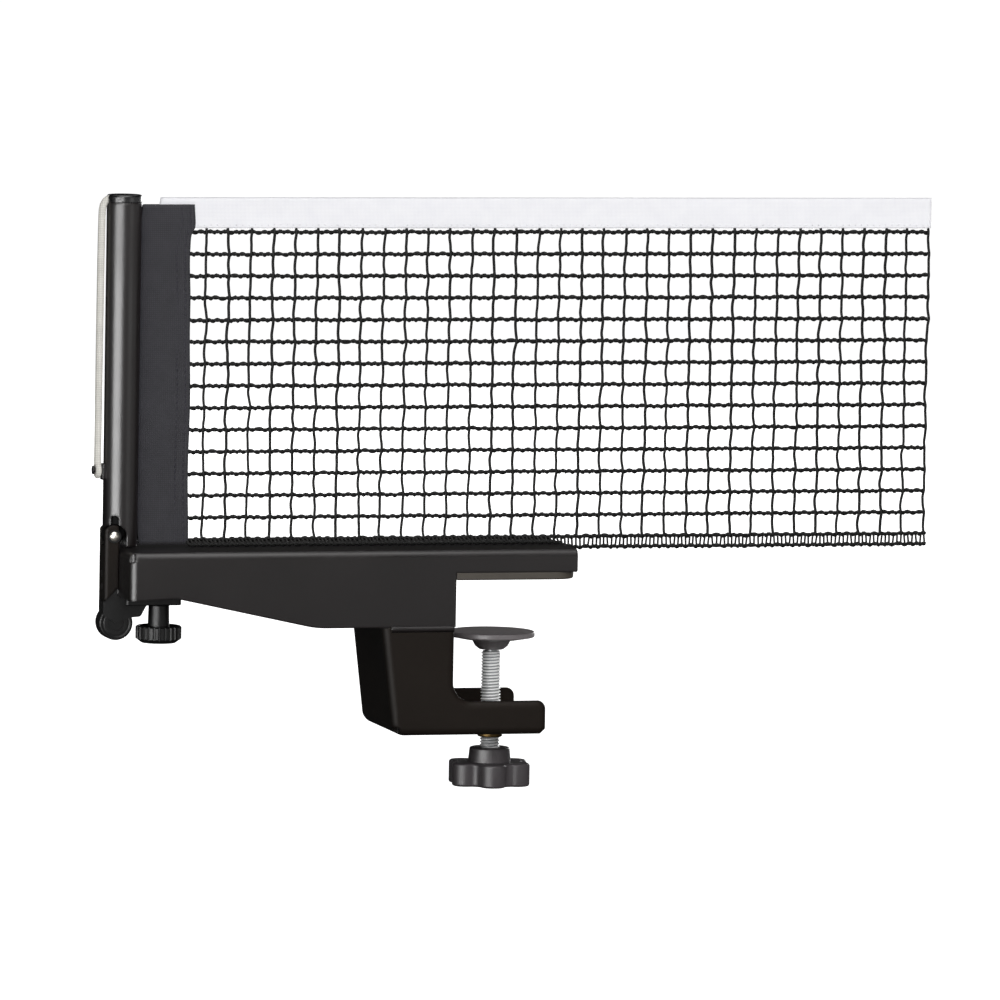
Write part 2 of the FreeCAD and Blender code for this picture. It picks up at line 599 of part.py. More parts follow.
def tangent_path(points):
    """Straight runs between the points, joined by tangent arcs, with the arcs' radii."""
    runs = [(b - a).Length for a, b in zip(points, points[1:])]
    edges, radii, start = [], [], points[0]
    for i in range(1, len(points) - 1):
        back = points[i - 1] - points[i]
        ahead = points[i + 1] - points[i]
        back.normalize()
        ahead.normalize()
        half = back.getAngle(ahead) / 2
        cut = 0.45 * min(runs[i - 1], runs[i])
        radius = cut * math.tan(half)
        middle = back + ahead
        middle.normalize()
        near = points[i] + middle * (radius / math.sin(half) - radius)
        first, last = points[i] + back * cut, points[i] + ahead * cut
        edges.append(Part.LineSegment(start, first).toShape())
        edges.append(Part.Arc(first, near, last).toShape())
        radii.append(radius)
        start = last
    edges.append(Part.LineSegment(start, points[-1]).toShape())
    return Part.Wire(edges), radii


def tension_cord():
    """Cord out of the tube, over the cap's edge and straight down outside the post."""
    path, radii = tangent_path([V(x, 0, z) for x, z in CORD_ROUTE])
    start = V(CORD_ROUTE[0][0], 0, CORD_ROUTE[0][1])
    ring = Part.Wire([Part.makeCircle(CORD_R, start, path.Edges[0].tangentAt(0))])
    cord = path.makePipeShell([ring], True, False)
    print("tension_cord: length %.1f, radii %s, volume over section times length %.4f" % (
        path.Length, ["%.1f" % r for r in radii], cord.Volume / (math.pi * CORD_R ** 2 * path.Length)))
    return cord.Solids[0]


# Net: rod, sleeve, tape, mesh and hem

NET_R = 0.55                # half the thickness of the net's cords
TAPE_HALF = 0.6
CLOTH_HALF = 1.2            # half the thickness of the doubled sleeve
SLEEVE_TOP = 149.8
SLEEVE_FOOT = ARM_TOP + 1.0
ROD_R = 2.4
TAPE_LEFT = -144.7
HEM_FOOT = ARM_TOP + 0.6


def net_rod():
    """Rod in the sleeve's inner loop, which holds the net in the slotted tube."""
    return upright(ROD_R, POST_X, (PLUG_TOP + 1, CAP_FOOT - 1))


def net_sleeve():
    """Doubled cloth sleeve: a loop round the rod, and a blade out through the slot."""
    loop_z = (PLUG_TOP + 1, CAP_FOOT - 1)
    loop = upright(ROD_R + 1.4, POST_X, loop_z).cut(upright(ROD_R, POST_X, loop_z))
    inner = box((POST_X + ROD_R + 0.8, POST_X + TUBE_R + 1), (-CLOTH_HALF, CLOTH_HALF), loop_z)
    left = POST_X + TUBE_R + 0.3
    blade = slab([(left, SLEEVE_FOOT, 0), (NET_LEFT, SLEEVE_FOOT, 0), (NET_LEFT, NET_TOP - TAPE_HEIGHT, 0),
                  (NET_LEFT + 1.9, NET_TOP - TAPE_HEIGHT, 0.8), (NET_LEFT + 1.6, SLEEVE_TOP, 0.5),
                  (left, SLEEVE_TOP, 0)], (-CLOTH_HALF, CLOTH_HALF))
    return one_solid(loop.fuse([inner, blade]).cut(net_tape()))


def net_tape():
    """White tape along the net's upper edge; its end lies inside the sleeve."""
    tape = box((TAPE_LEFT, NET_RIGHT), (-TAPE_HALF, TAPE_HALF), (NET_TOP - TAPE_HEIGHT, NET_TOP))
    top_edges = pick(tape, lambda middle, bound: middle.z > NET_TOP - 0.01 and bound.XLength > 5)
    return tape.makeFillet(0.5, top_edges)


def net_mesh():
    """Knotted net as one holed sheet."""
    columns, rows = 27, 11
    cord = 1.1
    foot, top = HEM_TOP, NET_TOP - TAPE_HEIGHT
    pitch_x = (NET_RIGHT - NET_LEFT - cord) / columns
    pitch_z = (top - foot - cord) / rows

    def rectangle(x, z):
        corners = [(x[0], z[0]), (x[1], z[0]), (x[1], z[1]), (x[0], z[1]), (x[0], z[0])]
        return Part.makePolygon([V(a, -NET_R, b) for a, b in corners])

    wires = [rectangle((NET_LEFT, NET_RIGHT), (foot, top))]
    for i in range(columns):
        for j in range(rows):
            x, z = NET_LEFT + cord + i * pitch_x, foot + cord + j * pitch_z
            wires.append(rectangle((x, x + pitch_x - cord), (z, z + pitch_z - cord)))
    return Part.Face(wires, "Part::FaceMakerBullseye").extrude(V(0, 2 * NET_R, 0))


def net_hem():
    """Looped hem along the net's lower edge."""
    return box((NET_LEFT, NET_RIGHT + 0.8), (-NET_R, NET_R), (HEM_FOOT, HEM_TOP))


PIECES = [arm_channel, lower_jaw, seam_welds, jaw_pad, screw_bush, screw_bridge, height_nut,
          pressure_disc, clamp_screw, star_knob,
          hinge_channel, foot, guide_plate, guide_rivets, hinge_rivet, hinge_washers,
          height_stud, stud_clip, height_wheel,
          post_tube, tube_plug, post_cap, hook_lug, cord_eye, tension_cord,
          net_rod, net_sleeve, net_tape, net_mesh, net_hem]

os.makedirs("parts", exist_ok=True)
for piece in PIECES:
    shape = piece()
    print("%-14s solids %d, volume %.1f, valid %s" % (
        piece.__name__, len(shape.Solids), shape.Volume, shape.isValid()))
    shape.exportStep("parts/%s.step" % piece.__name__)
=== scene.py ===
import json
import math

import bpy
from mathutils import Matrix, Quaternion, Vector


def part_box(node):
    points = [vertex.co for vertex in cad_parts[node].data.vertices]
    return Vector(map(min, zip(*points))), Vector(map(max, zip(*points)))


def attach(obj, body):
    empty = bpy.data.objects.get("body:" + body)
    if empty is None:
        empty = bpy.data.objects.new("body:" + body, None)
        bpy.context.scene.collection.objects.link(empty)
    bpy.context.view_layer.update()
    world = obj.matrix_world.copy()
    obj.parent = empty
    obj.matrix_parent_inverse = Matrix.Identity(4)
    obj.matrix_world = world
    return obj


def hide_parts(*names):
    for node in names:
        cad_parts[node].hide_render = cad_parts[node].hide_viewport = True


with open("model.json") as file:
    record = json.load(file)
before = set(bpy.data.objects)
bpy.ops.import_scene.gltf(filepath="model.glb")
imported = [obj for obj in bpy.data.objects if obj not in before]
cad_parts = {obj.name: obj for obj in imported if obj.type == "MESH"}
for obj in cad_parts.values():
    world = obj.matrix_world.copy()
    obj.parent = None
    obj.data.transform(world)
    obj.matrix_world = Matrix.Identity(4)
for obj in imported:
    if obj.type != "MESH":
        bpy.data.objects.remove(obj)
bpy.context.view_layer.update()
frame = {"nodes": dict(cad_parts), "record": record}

# Table tennis net clamp. Sizes are metres; MM turns a millimetre into them.
# X runs from the post along the net, Z is up, and the plane Y = 0 holds the post and the net.

MM = 0.001


# Small tools

def add(tree, kind, links=None, **settings):
    """Adds a node. Each of links is an input's value, or an output or a node that feeds it."""
    node = tree.nodes.new(kind)
    for name, value in settings.items():
        setattr(node, name, value)
    for key, value in (links or {}).items():
        if isinstance(value, bpy.types.Node):
            value = value.outputs[0]
        if isinstance(value, bpy.types.NodeSocket):
            tree.links.new(value, node.inputs[key])
        else:
            node.inputs[key].default_value = value
    return node


def linear(code):
    """Linear RGBA of an sRGB hex colour."""
    parts = [int(code[i:i + 2], 16) / 255 for i in (1, 3, 5)]
    return [c / 12.92 if c <= 0.04045 else ((c + 0.055) / 1.055) ** 2.4 for c in parts] + [1.0]


def material(name, surface):
    """A material whose surface(tree) adds the nodes and gives the shader."""
    made = bpy.data.materials.new(name)
    made.use_nodes = True
    made.node_tree.nodes.clear()
    add(made.node_tree, "ShaderNodeOutputMaterial", {"Surface": surface(made.node_tree)})
    return made


def place_object(name, data):
    """A new object at the origin, in the scene."""
    made = bpy.data.objects.new(name, data)
    bpy.context.scene.collection.objects.link(made)
    return made


def settle(piece, finish, body):
    """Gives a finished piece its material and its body."""
    piece.data.materials.clear()
    piece.data.materials.append(finish)
    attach(piece, body)
    return piece


def mesh_piece(name, points, faces, sharp=40):
    """A smooth mesh object from points in metres; edges past the sharp angle, in degrees, stay sharp."""
    mesh = bpy.data.meshes.new(name)
    mesh.from_pydata(points, [], faces)
    mesh.validate()
    mesh.shade_smooth()
    mesh.set_sharp_from_angle(angle=math.radians(sharp))
    return place_object(name, mesh)


def turned_piece(name, profile, centre_x, steps=40):
    """A turned solid on an upright axis. The profile's (radius, z) points run up from axis to axis."""
    points = [(centre_x, 0, profile[0][1])]
    for radius, z in profile[1:-1]:
        for i in range(steps):
            angle = 2 * math.pi * i / steps
            points.append((centre_x + radius * math.cos(angle), radius * math.sin(angle), z))
    points.append((centre_x, 0, profile[-1][1]))
    last = len(points) - 1
    faces = []
    for i in range(steps):
        after = (i + 1) % steps
        faces.append((0, 1 + after, 1 + i))
        for ring in range(len(profile) - 3):
            low, high = 1 + ring * steps, 1 + (ring + 1) * steps
            faces.append((low + i, low + after, high + after, high + i))
        faces.append((last, last - steps + i, last - steps + after))
    return mesh_piece(name, points, faces)


def cloth_grid(name, across, up, place):
    """A sheet of across by up cells; place(u, v) gives each point in metres for u and v from 0 to 1."""
    points = [place(i / across, j / up) for j in range(up + 1) for i in range(across + 1)]
    faces = []
    for j in range(up):
        for i in range(across):
            first = j * (across + 1) + i
            faces.append((first, first + 1, first + across + 2, first + across + 1))
    return mesh_piece(name, points, faces, 180)


def geometry_tree(name, floats, integers=()):
    """A geometry tree with a named input for each size and count, and its group input's outputs."""
    tree = bpy.data.node_groups.new(name, "GeometryNodeTree")
    tree.interface.new_socket("Geometry", in_out="INPUT", socket_type="NodeSocketGeometry")
    for label in floats:
        tree.interface.new_socket(label, in_out="INPUT", socket_type="NodeSocketFloat")
    for label in integers:
        tree.interface.new_socket(label, in_out="INPUT", socket_type="NodeSocketInt")
    tree.interface.new_socket("Geometry", in_out="OUTPUT", socket_type="NodeSocketGeometry")
    return tree, add(tree, "NodeGroupInput").outputs


def close_tree(tree, geometry, finish):
    """Ends a geometry tree: instances made real, smooth faces, material set."""
    real = add(tree, "GeometryNodeRealizeInstances", {"Geometry": geometry})
    smooth = add(tree, "GeometryNodeSetShadeSmooth", {"Geometry": real})
    done = add(tree, "GeometryNodeSetMaterial", {"Geometry": smooth, "Material": finish})
    add(tree, "NodeGroupOutput", {"Geometry": done})
    return tree


def grow(name, tree, values, finish, body, paths=()):
    """Runs a geometry tree with these inputs, and keeps its result as a plain mesh.

    paths are lists of points, for a tree that lays something along them.
    """
    seed = bpy.data.meshes.new(name)
    points = [point for path in paths for point in path]
    firsts = {sum(len(path) for path in paths[:i]) for i in range(len(paths))}
    seed.from_pydata(points, [(i, i + 1) for i in range(len(points) - 1) if i + 1 not in firsts], [])
    piece = place_object(name, seed)
    modifier = piece.modifiers.new("grow", "NODES")
    modifier.node_group = tree
    for item in tree.interface.items_tree:
        if item.in_out == "INPUT" and item.name in values:
            modifier[item.identifier] = values[item.name]
    made = piece.evaluated_get(bpy.context.evaluated_depsgraph_get())
    mesh = bpy.data.meshes.new_from_object(made)
    piece.modifiers.clear()
    piece.data = mesh
    return settle(piece, finish, body)


# Camera: a long lens, from a little left of the front and a little above

VIEW_AZIMUTH = math.radians(-15.3)
VIEW_ELEVATION = math.radians(5.2)
VIEW_ROLL = math.radians(1.0)
VIEW_CENTRE = Vector((-1.1, 0, 29.9)) * MM
VIEW_WIDTH = 404.5 * MM
VIEW_DISTANCE = 4.0
SENSOR_WIDTH = 36.0         # millimetres, as Blender wants it
FAR_CLIP = 60.0


def towards(azimuth, elevation):
    """Unit vector from the object to a viewer at these angles."""
    flat = math.cos(elevation)
    return Vector((math.sin(azimuth) * flat, -math.cos(azimuth) * flat, math.sin(elevation)))


def facing(back):
    """The turn that points a camera or a lamp against the vector back."""
    return (-back).to_track_quat("-Z", "Y")


def make_camera():
    data = bpy.data.cameras.new("camera")
    data.sensor_width = SENSOR_WIDTH
    data.lens = SENSOR_WIDTH * VIEW_DISTANCE / VIEW_WIDTH
    data.clip_end = FAR_CLIP
    camera = place_object("camera", data)
    back = towards(VIEW_AZIMUTH, VIEW_ELEVATION)
    camera.location = VIEW_CENTRE + back * VIEW_DISTANCE
    camera.rotation_mode = "QUATERNION"
    camera.rotation_quaternion = facing(back) @ Quaternion((0, 0, 1), VIEW_ROLL)
    bpy.context.scene.camera = camera


# Studio: a white floor that is dim in reflections, a dim room, and soft boxes

KNOB_TRAVEL = 26 * MM       # how far the knob goes down from the photographed place
FLOOR_GAP = 0.3 * MM        # from the knob at its lowest to the floor
FLOOR_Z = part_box("star_knob")[0].z - KNOB_TRAVEL - FLOOR_GAP
FLOOR_HALF = 14.0
FLOOR_GLOW = 0.82           # what the floor gives off where it is seen, so that it reads as white
ROOM_LIGHT = 0.34           # what matt surfaces get from the room
DIM_ROOM = 0.02             # what gloss sees above the horizon

# The floor's level in reflections, where white is 1. It is dim near the object, which keeps the coat black,
# and rises towards the front, towards the right behind the object, and to both sides.
GLOSS_NEAR = 0.02
GLOSS_FRONT = 0.66
GLOSS_BACK = 0.60
GLOSS_SIDE = 0.50
FRONT_RISE = (-1.1, -0.026)             # along Y, from the full level to the dim one
BACK_RISE = ((0.065, 0.9), (0.0, 0.5))  # along Y and along X, from nothing to the full level
SIDE_RISE = ((0.65, 0.26), (0.45, 1.17))

# Name, azimuth and elevation in degrees, distance, width and height in metres, radiance, and which
# surfaces the lamp serves: the strips draw the highlights, the fills light the matt colours.
LAMPS = [
    ("key strip", -49, -1.5, 1.0, 0.86, 0.16, 27.0, "gloss"),
    ("side strip", 33, 0, 1.5, 0.66, 0.4, 1.5, "gloss"),
    ("top strip", -24, 57, 1.2, 1.1, 1.9, 4.0, "gloss"),
    ("back top strip", 172, 62, 1.3, 1.1, 0.4, 1.6, "gloss"),
    ("back strip", 143, 4, 1.2, 0.4, 0.3, 8.0, "gloss"),
    ("fill", 6, 24, 2.2, 1.6, 1.0, 6.2, "matt"),
    ("back fill", 188, 24, 2.2, 1.6, 1.0, 5.6, "matt"),
]


def soft_box(name, azimuth, elevation, distance, width, height, radiance, serves):
    """A rectangular lamp that faces the object and serves either gloss or matt surfaces."""
    data = bpy.data.lights.new(name, "AREA")
    data.shape = "RECTANGLE"
    data.size, data.size_y = width, height
    data.energy = radiance * math.pi * width * height
    lamp = place_object(name, data)
    back = towards(math.radians(azimuth), math.radians(elevation))
    lamp.location = VIEW_CENTRE + back * distance
    lamp.rotation_mode = "QUATERNION"
    lamp.rotation_quaternion = facing(back)
    lamp.visible_glossy = serves == "gloss"
    lamp.visible_diffuse = serves == "matt"


def seen_directly(tree):
    """1 for camera and transmission rays, and the glossy rays' own flag."""
    path = add(tree, "ShaderNodeLightPath").outputs
    straight = add(tree, "ShaderNodeMath", {0: path["Is Camera Ray"], 1: path["Is Transmission Ray"]},
                   operation="MAXIMUM")
    return straight, path["Is Glossy Ray"]


def floor_in_gloss(tree):
    """The floor's level in reflections, by the place on the floor."""
    place = add(tree, "ShaderNodeTexCoord").outputs["Object"]
    spot = add(tree, "ShaderNodeSeparateXYZ", {0: place}).outputs
    aside = add(tree, "ShaderNodeMath", {0: spot["X"]}, operation="ABSOLUTE")
    level = add(tree, "ShaderNodeMapRange", {"Value": spot["Y"], "From Min": FRONT_RISE[0],
                                             "From Max": FRONT_RISE[1], "To Min": GLOSS_FRONT,
                                             "To Max": GLOSS_NEAR})
    for rise, across, full in ((BACK_RISE, spot["X"], GLOSS_BACK), (SIDE_RISE, aside, GLOSS_SIDE)):
        (first_y, full_y), (first_x, full_x) = rise
        deep = add(tree, "ShaderNodeMapRange", {"Value": spot["Y"], "From Min": first_y,
                                                "From Max": full_y})
        wide = add(tree, "ShaderNodeMapRange", {"Value": across, "From Min": first_x, "From Max": full_x,
                                                "To Max": full})
        level = add(tree, "ShaderNodeMath", {0: deep, 1: wide, 2: level}, operation="MULTIPLY_ADD")
    return level


def floor_surface(tree):
    """Matt white, brought up to white where it is seen, with the object's shadow left in."""
    straight, glossy = seen_directly(tree)
    lift = add(tree, "ShaderNodeMath", {0: straight, 1: FLOOR_GLOW}, operation="MULTIPLY")
    glow = add(tree, "ShaderNodeEmission", {"Color": linear("#ffffff"), "Strength": lift})
    matt = add(tree, "ShaderNodeBsdfDiffuse", {"Color": linear("#d4d4d4")})
    both = add(tree, "ShaderNodeAddShader", {0: matt, 1: glow})
    level = floor_in_gloss(tree)
    mirrored = add(tree, "ShaderNodeEmission", {"Color": linear("#ffffff"), "Strength": level})
    return add(tree, "ShaderNodeMixShader", {0: glossy, 1: both, 2: mirrored})


def room_surface(tree):
    """White where it is seen, and a dim room for gloss."""
    straight, glossy = seen_directly(tree)
    gloss = add(tree, "ShaderNodeMix", {"Factor": glossy, "A": ROOM_LIGHT, "B": DIM_ROOM}).outputs["Result"]
    level = add(tree, "ShaderNodeMix", {"Factor": straight, "A": gloss, "B": 1.0}).outputs["Result"]
    return add(tree, "ShaderNodeBackground", {"Color": linear("#ffffff"), "Strength": level})


def make_studio():
    corners = [(x * FLOOR_HALF, y * FLOOR_HALF, FLOOR_Z) for x, y in ((-1, -1), (1, -1), (1, 1), (-1, 1))]
    floor = mesh_piece("floor", corners, [(0, 1, 2, 3)])
    floor.data.materials.append(material("matt white floor", floor_surface))
    world = bpy.data.worlds.new("studio")
    bpy.context.scene.world = world
    world.use_nodes = True
    world.node_tree.nodes.clear()
    add(world.node_tree, "ShaderNodeOutputWorld", {"Surface": room_surface(world.node_tree)})
    for lamp in LAMPS:
        soft_box(*lamp)
    bpy.context.scene.view_settings.view_transform = "Standard"


# Finishes. Sizes of patterns are metres.

WAVE_PERIOD = math.pi / 10      # from band to band in a wave texture of scale 1
COAT_ROUND = 1.1 * MM           # how wide the coat flows round over an edge
PEEL, PEEL_DEPTH = 1.3 * MM, 0.04 * MM
GRAIN_DEPTH = 0.06 * MM
FIBRE, FIBRE_DEPTH = 0.5 * MM, 0.1 * MM     # coarser than the real fibres, so that they show


def patches(tree, place, size, detail, dark, light, smooth, dull):
    """Cloudy patches of this size: a colour from dark to light, and a roughness from smooth to dull."""
    cloud = add(tree, "ShaderNodeTexNoise", {"Vector": place, "Scale": 1 / size, "Detail": detail})
    share = cloud.outputs["Fac"]
    tone = add(tree, "ShaderNodeMix", {"Factor": share, "A": linear(dark), "B": linear(light)},
               data_type="RGBA")
    gloss = add(tree, "ShaderNodeMapRange", {"Value": share, "From Min": 0.3, "From Max": 0.7,
                                             "To Min": smooth, "To Max": dull})
    return tone.outputs["Result"], gloss


def coat(dark, light, rough, specular=0.5):
    """Powder coat on steel: near black, flowed round over the edges, with fine orange peel."""
    def surface(tree):
        place = add(tree, "ShaderNodeTexCoord").outputs["Object"]
        over_edges = add(tree, "ShaderNodeBevel", {"Radius": COAT_ROUND}, samples=4)
        peel = add(tree, "ShaderNodeTexNoise", {"Vector": place, "Scale": 1 / PEEL, "Detail": 2.0})
        bump = add(tree, "ShaderNodeBump", {"Height": peel.outputs["Fac"], "Strength": 0.35,
                                            "Distance": PEEL_DEPTH, "Normal": over_edges})
        tone, gloss = patches(tree, place, 35 * MM, 3.0, dark, light, rough - 0.03, rough + 0.03)
        return add(tree, "ShaderNodeBsdfPrincipled", {"Base Color": tone, "Roughness": gloss,
                                                      "Specular IOR Level": specular, "Normal": bump})
    return surface


def moulded(dark, light, grain, rough, specular=0.5):
    """Moulded plastic or rubber: two near tones and the fine grain of a spark-eroded mould."""
    def surface(tree):
        place = add(tree, "ShaderNodeTexCoord").outputs["Object"]
        pits = add(tree, "ShaderNodeTexNoise", {"Vector": place, "Scale": 1 / grain, "Detail": 3.0})
        bump = add(tree, "ShaderNodeBump", {"Height": pits.outputs["Fac"], "Strength": 0.5,
                                            "Distance": GRAIN_DEPTH})
        tone, gloss = patches(tree, place, 9 * MM, 4.0, dark, light, rough - 0.05, rough + 0.05)
        return add(tree, "ShaderNodeBsdfPrincipled", {"Base Color": tone, "Roughness": gloss,
                                                      "Specular IOR Level": specular, "Normal": bump})
    return surface


def plated(dark, light, rough, metallic=1.0):
    """Electroplated steel: metallic, with faint blotches from the bath."""
    def surface(tree):
        place = add(tree, "ShaderNodeTexCoord").outputs["Object"]
        tone, gloss = patches(tree, place, 2.5 * MM, 4.0, dark, light, rough - 0.05, rough + 0.06)
        return add(tree, "ShaderNodeBsdfPrincipled", {"Base Color": tone, "Metallic": metallic,
                                                      "Roughness": gloss})
    return surface


def rolled(centre_x, root, crest):
    """Zinc plate on a rolled thread: painted shade in the roots and a painted highlight on the crests, by
    the distance from the rod's axis; the roots are also rougher.
    """
    def surface(tree):
        place = add(tree, "ShaderNodeTexCoord").outputs["Object"]
        aside = add(tree, "ShaderNodeVectorMath", {0: place, 1: (centre_x, 0, 0)}, operation="SUBTRACT")
        level = add(tree, "ShaderNodeVectorMath", {0: aside, 1: (1, 1, 0)}, operation="MULTIPLY")
        radius = add(tree, "ShaderNodeVectorMath", {0: level}, operation="LENGTH").outputs["Value"]
        height = add(tree, "ShaderNodeMapRange", {"Value": radius, "From Min": root, "From Max": crest})
        # Painted shade and highlight: dark grey in the thread's roots, near white on its crests.
        tone = add(tree, "ShaderNodeMix", {"Factor": height, "A": linear("#85888a"),
                                           "B": linear("#fdfdfd")}, data_type="RGBA").outputs["Result"]
        gloss = add(tree, "ShaderNodeMapRange", {"Value": height, "To Min": 0.55, "To Max": 0.34})
        return add(tree, "ShaderNodeBsdfPrincipled", {"Base Color": tone, "Metallic": 0.18,
                                                      "Roughness": gloss})
    return surface


def woven(dark, light, thread, depth, sheen=0.0):
    """Plain weave with threads along X and Z, this far apart: darker between them as painted shade, and
    cloudy.
    """
    def surface(tree):
        place = add(tree, "ShaderNodeTexCoord").outputs["Object"]
        bands = []
        for direction in ("X", "Z"):
            wave = add(tree, "ShaderNodeTexWave", {"Vector": place, "Scale": WAVE_PERIOD / thread,
                                                   "Distortion": 0.6, "Detail": 1.0, "Detail Scale": 0.4},
                       bands_direction=direction)
            bands.append(wave.outputs["Fac"])
        height = add(tree, "ShaderNodeMath", {0: bands[0], 1: bands[1]}, operation="MULTIPLY")
        cloud = add(tree, "ShaderNodeTexNoise", {"Vector": place, "Scale": 1 / (6 * MM), "Detail": 5.0})
        # Painted shade: the tone is darkest where the weave is low, between the threads, with random cloud
        # added.
        shade = add(tree, "ShaderNodeMath", {0: height, 1: cloud.outputs["Fac"]}, operation="ADD")
        level = add(tree, "ShaderNodeMapRange", {"Value": shade, "From Min": 0.3, "From Max": 1.3})
        tone = add(tree, "ShaderNodeMix", {"Factor": level, "A": linear(dark), "B": linear(light)},
                   data_type="RGBA").outputs["Result"]
        bump = add(tree, "ShaderNodeBump", {"Height": height, "Strength": 0.6, "Distance": depth})
        return add(tree, "ShaderNodeBsdfPrincipled", {"Base Color": tone, "Roughness": 0.85,
                                                      "Sheen Weight": sheen, "Normal": bump})
    return surface


def spun(dark, light):
    """Cord or thread of spun fibres: dull, and uneven from fibre to fibre."""
    def surface(tree):
        place = add(tree, "ShaderNodeTexCoord").outputs["Object"]
        fibre = add(tree, "ShaderNodeTexNoise", {"Vector": place, "Scale": 1 / FIBRE,
                                                 "Detail": 2.0}).outputs["Fac"]
        tone = add(tree, "ShaderNodeMix", {"Factor": fibre, "A": linear(dark), "B": linear(light)},
                   data_type="RGBA").outputs["Result"]
        bump = add(tree, "ShaderNodeBump", {"Height": fibre, "Strength": 0.6, "Distance": FIBRE_DEPTH})
        return add(tree, "ShaderNodeBsdfPrincipled", {"Base Color": tone, "Roughness": 0.7,
                                                      "Specular IOR Level": 0.22, "Normal": bump})
    return surface


# Each finish has a comment that says what its making gives the eye.
FINISHES = {
    # Polyester powder, baked: long soft highlights on near black
    "black_powder_coat": material("satin black powder coat", coat("#130f0f", "#1a1515", 0.34)),
    # The same powder, thin and dull: browner, with hardly a highlight
    "matt_powder_coat": material("matt brown black powder coat", coat("#15100c", "#1c1611", 0.50, 0.14)),
    # Pressed rubber: dull and faintly mottled
    "pad_rubber": material("moulded brown black rubber", moulded("#38332c", "#453f37", 0.35 * MM, 0.62)),
    # Turned steel, zinc plated and dipped yellow: a dark brass tone
    "yellow_zinc": material("yellow passivated zinc", plated("#4c3a22", "#625031", 0.42)),
    # Bright zinc plate: pale grey, blurred reflections
    "clear_zinc": material("clear passivated zinc", plated("#bfc1c2", "#dcddde", 0.36, 0.55)),
    # Nickel plate on a formed rivet head: warm white metal
    "nickel": material("bright nickel plate", plated("#d8d2c6", "#e6e1d8", 0.40)),
    # Injection moulded nylon from an eroded mould: even, soft grey highlights
    "black_nylon": material("moulded black nylon", moulded("#0d0d0d", "#151515", 0.3 * MM, 0.44, 0.3)),
    # Nylon from a polished mould: a clear highlight on the cap's rim
    "gloss_nylon": material("polished black nylon", moulded("#121213", "#19191a", 0.5 * MM, 0.27)),
    # Nylon darker than the other black nylon, as painted shade that makes the tube's keyhole read as a
    # hole; rough from the mould: no highlight at all
    "shade_dark_nylon": material("rough nylon darkened as shade", moulded("#060606", "#0a0a0a", 0.5 * MM, 0.72, 0.08)),
    # Stove enamel on the pressed disc: mid grey, even
    "grey_coat": material("grey satin enamel", moulded("#625e5f", "#706b6c", 0.5 * MM, 0.42)),
    # Injection moulded ABS: charcoal, with broad highlights on the knob's lobes
    "grey_plastic": material("moulded charcoal ABS", moulded("#383436", "#454143", 0.3 * MM, 0.42)),
    # Cotton braid: pale, with a shallow criss-cross
    "cream_cord": material("braided cotton cord", woven("#c6c4bd", "#f0ede5", 0.7 * MM, 0.15 * MM)),
    # Cotton canvas in plain weave: blue black, dry
    "dark_canvas": material("plain woven canvas", woven("#15141a", "#26252c", 0.8 * MM, 0.09 * MM, 0.05)),
    # Bleached cotton tape in fine plain weave: white, nearly smooth
    "white_tape": material("woven cotton tape", woven("#e9e9ee", "#f6f6f8", 0.55 * MM, 0.03 * MM)),
    # Twisted polyethylene cord: black and dull
    "black_net_cord": material("twisted black net cord", spun("#080808", "#121212")),
    # Spun sewing threads, each a little lighter than its cloth
    "hem_thread": material("loose black hem thread", spun("#161515", "#2c2b2a")),
    "canvas_thread": material("grey violet sewing thread", spun("#222128", "#38363f")),
    "tape_thread": material("white sewing thread", spun("#dcdce2", "#f2f2f5")),
}


# Tension cord: over the cap's edge and straight down outside the post

CORD_R = 1.5 * MM
CORD_ROUTE = [(-160.6, 143.0), (-160.6, 151.9), (-167.3, 151.9), (-168.1, 142.0), (-168.2, 48.5)]


def make_tension_cord():
    curve = bpy.data.curves.new("tension_cord_braid", "CURVE")
    curve.dimensions = "3D"
    spline = curve.splines.new("NURBS")
    spline.points.add(len(CORD_ROUTE) - 1)
    for point, (x, z) in zip(spline.points, CORD_ROUTE):
        point.co = (x * MM, 0, z * MM, 1)
    spline.order_u = 3
    spline.use_endpoint_u = True
    spline.resolution_u = 16
    curve.bevel_depth = CORD_R
    curve.bevel_resolution = 5
    curve.use_fill_caps = True
    cord = place_object("tension_cord_braid", curve)
    settle(cord, FINISHES["cream_cord"], "post")
    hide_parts("tension_cord")


# Net: twisted level rows, thin columns that cross in front of them, and a hem of two cords with stitches

NET_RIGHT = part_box("net_mesh")[1].x
SLEEVE_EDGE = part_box("net_mesh")[0].x
ARM_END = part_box("arm_channel")[1].x
TAPE_FOOT, NET_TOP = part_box("net_tape")[0].z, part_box("net_tape")[1].z
HEM_FOOT, HEM_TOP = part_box("net_hem")[0].z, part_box("net_hem")[1].z

TWIST = 3.7 * MM                # length of one turn of a cord's strands
STRANDS = ((0.62 * MM, 0.54 * MM), (0.50 * MM, -0.22 * MM))     # radius, and throw from the cord's middle
SLIP_SIZE, SLIP = 7 * MM, 9.0   # the twist runs early or late over this length, by up to so many radians
STRAY_SIZE = 11 * MM            # the cords stray from a true grid over about this length
CORD_SIDES, STITCH_SIDES = 6, 5
ROW_STEPS, COLUMN_STEPS, STITCH_STEPS = 560, 140, 5

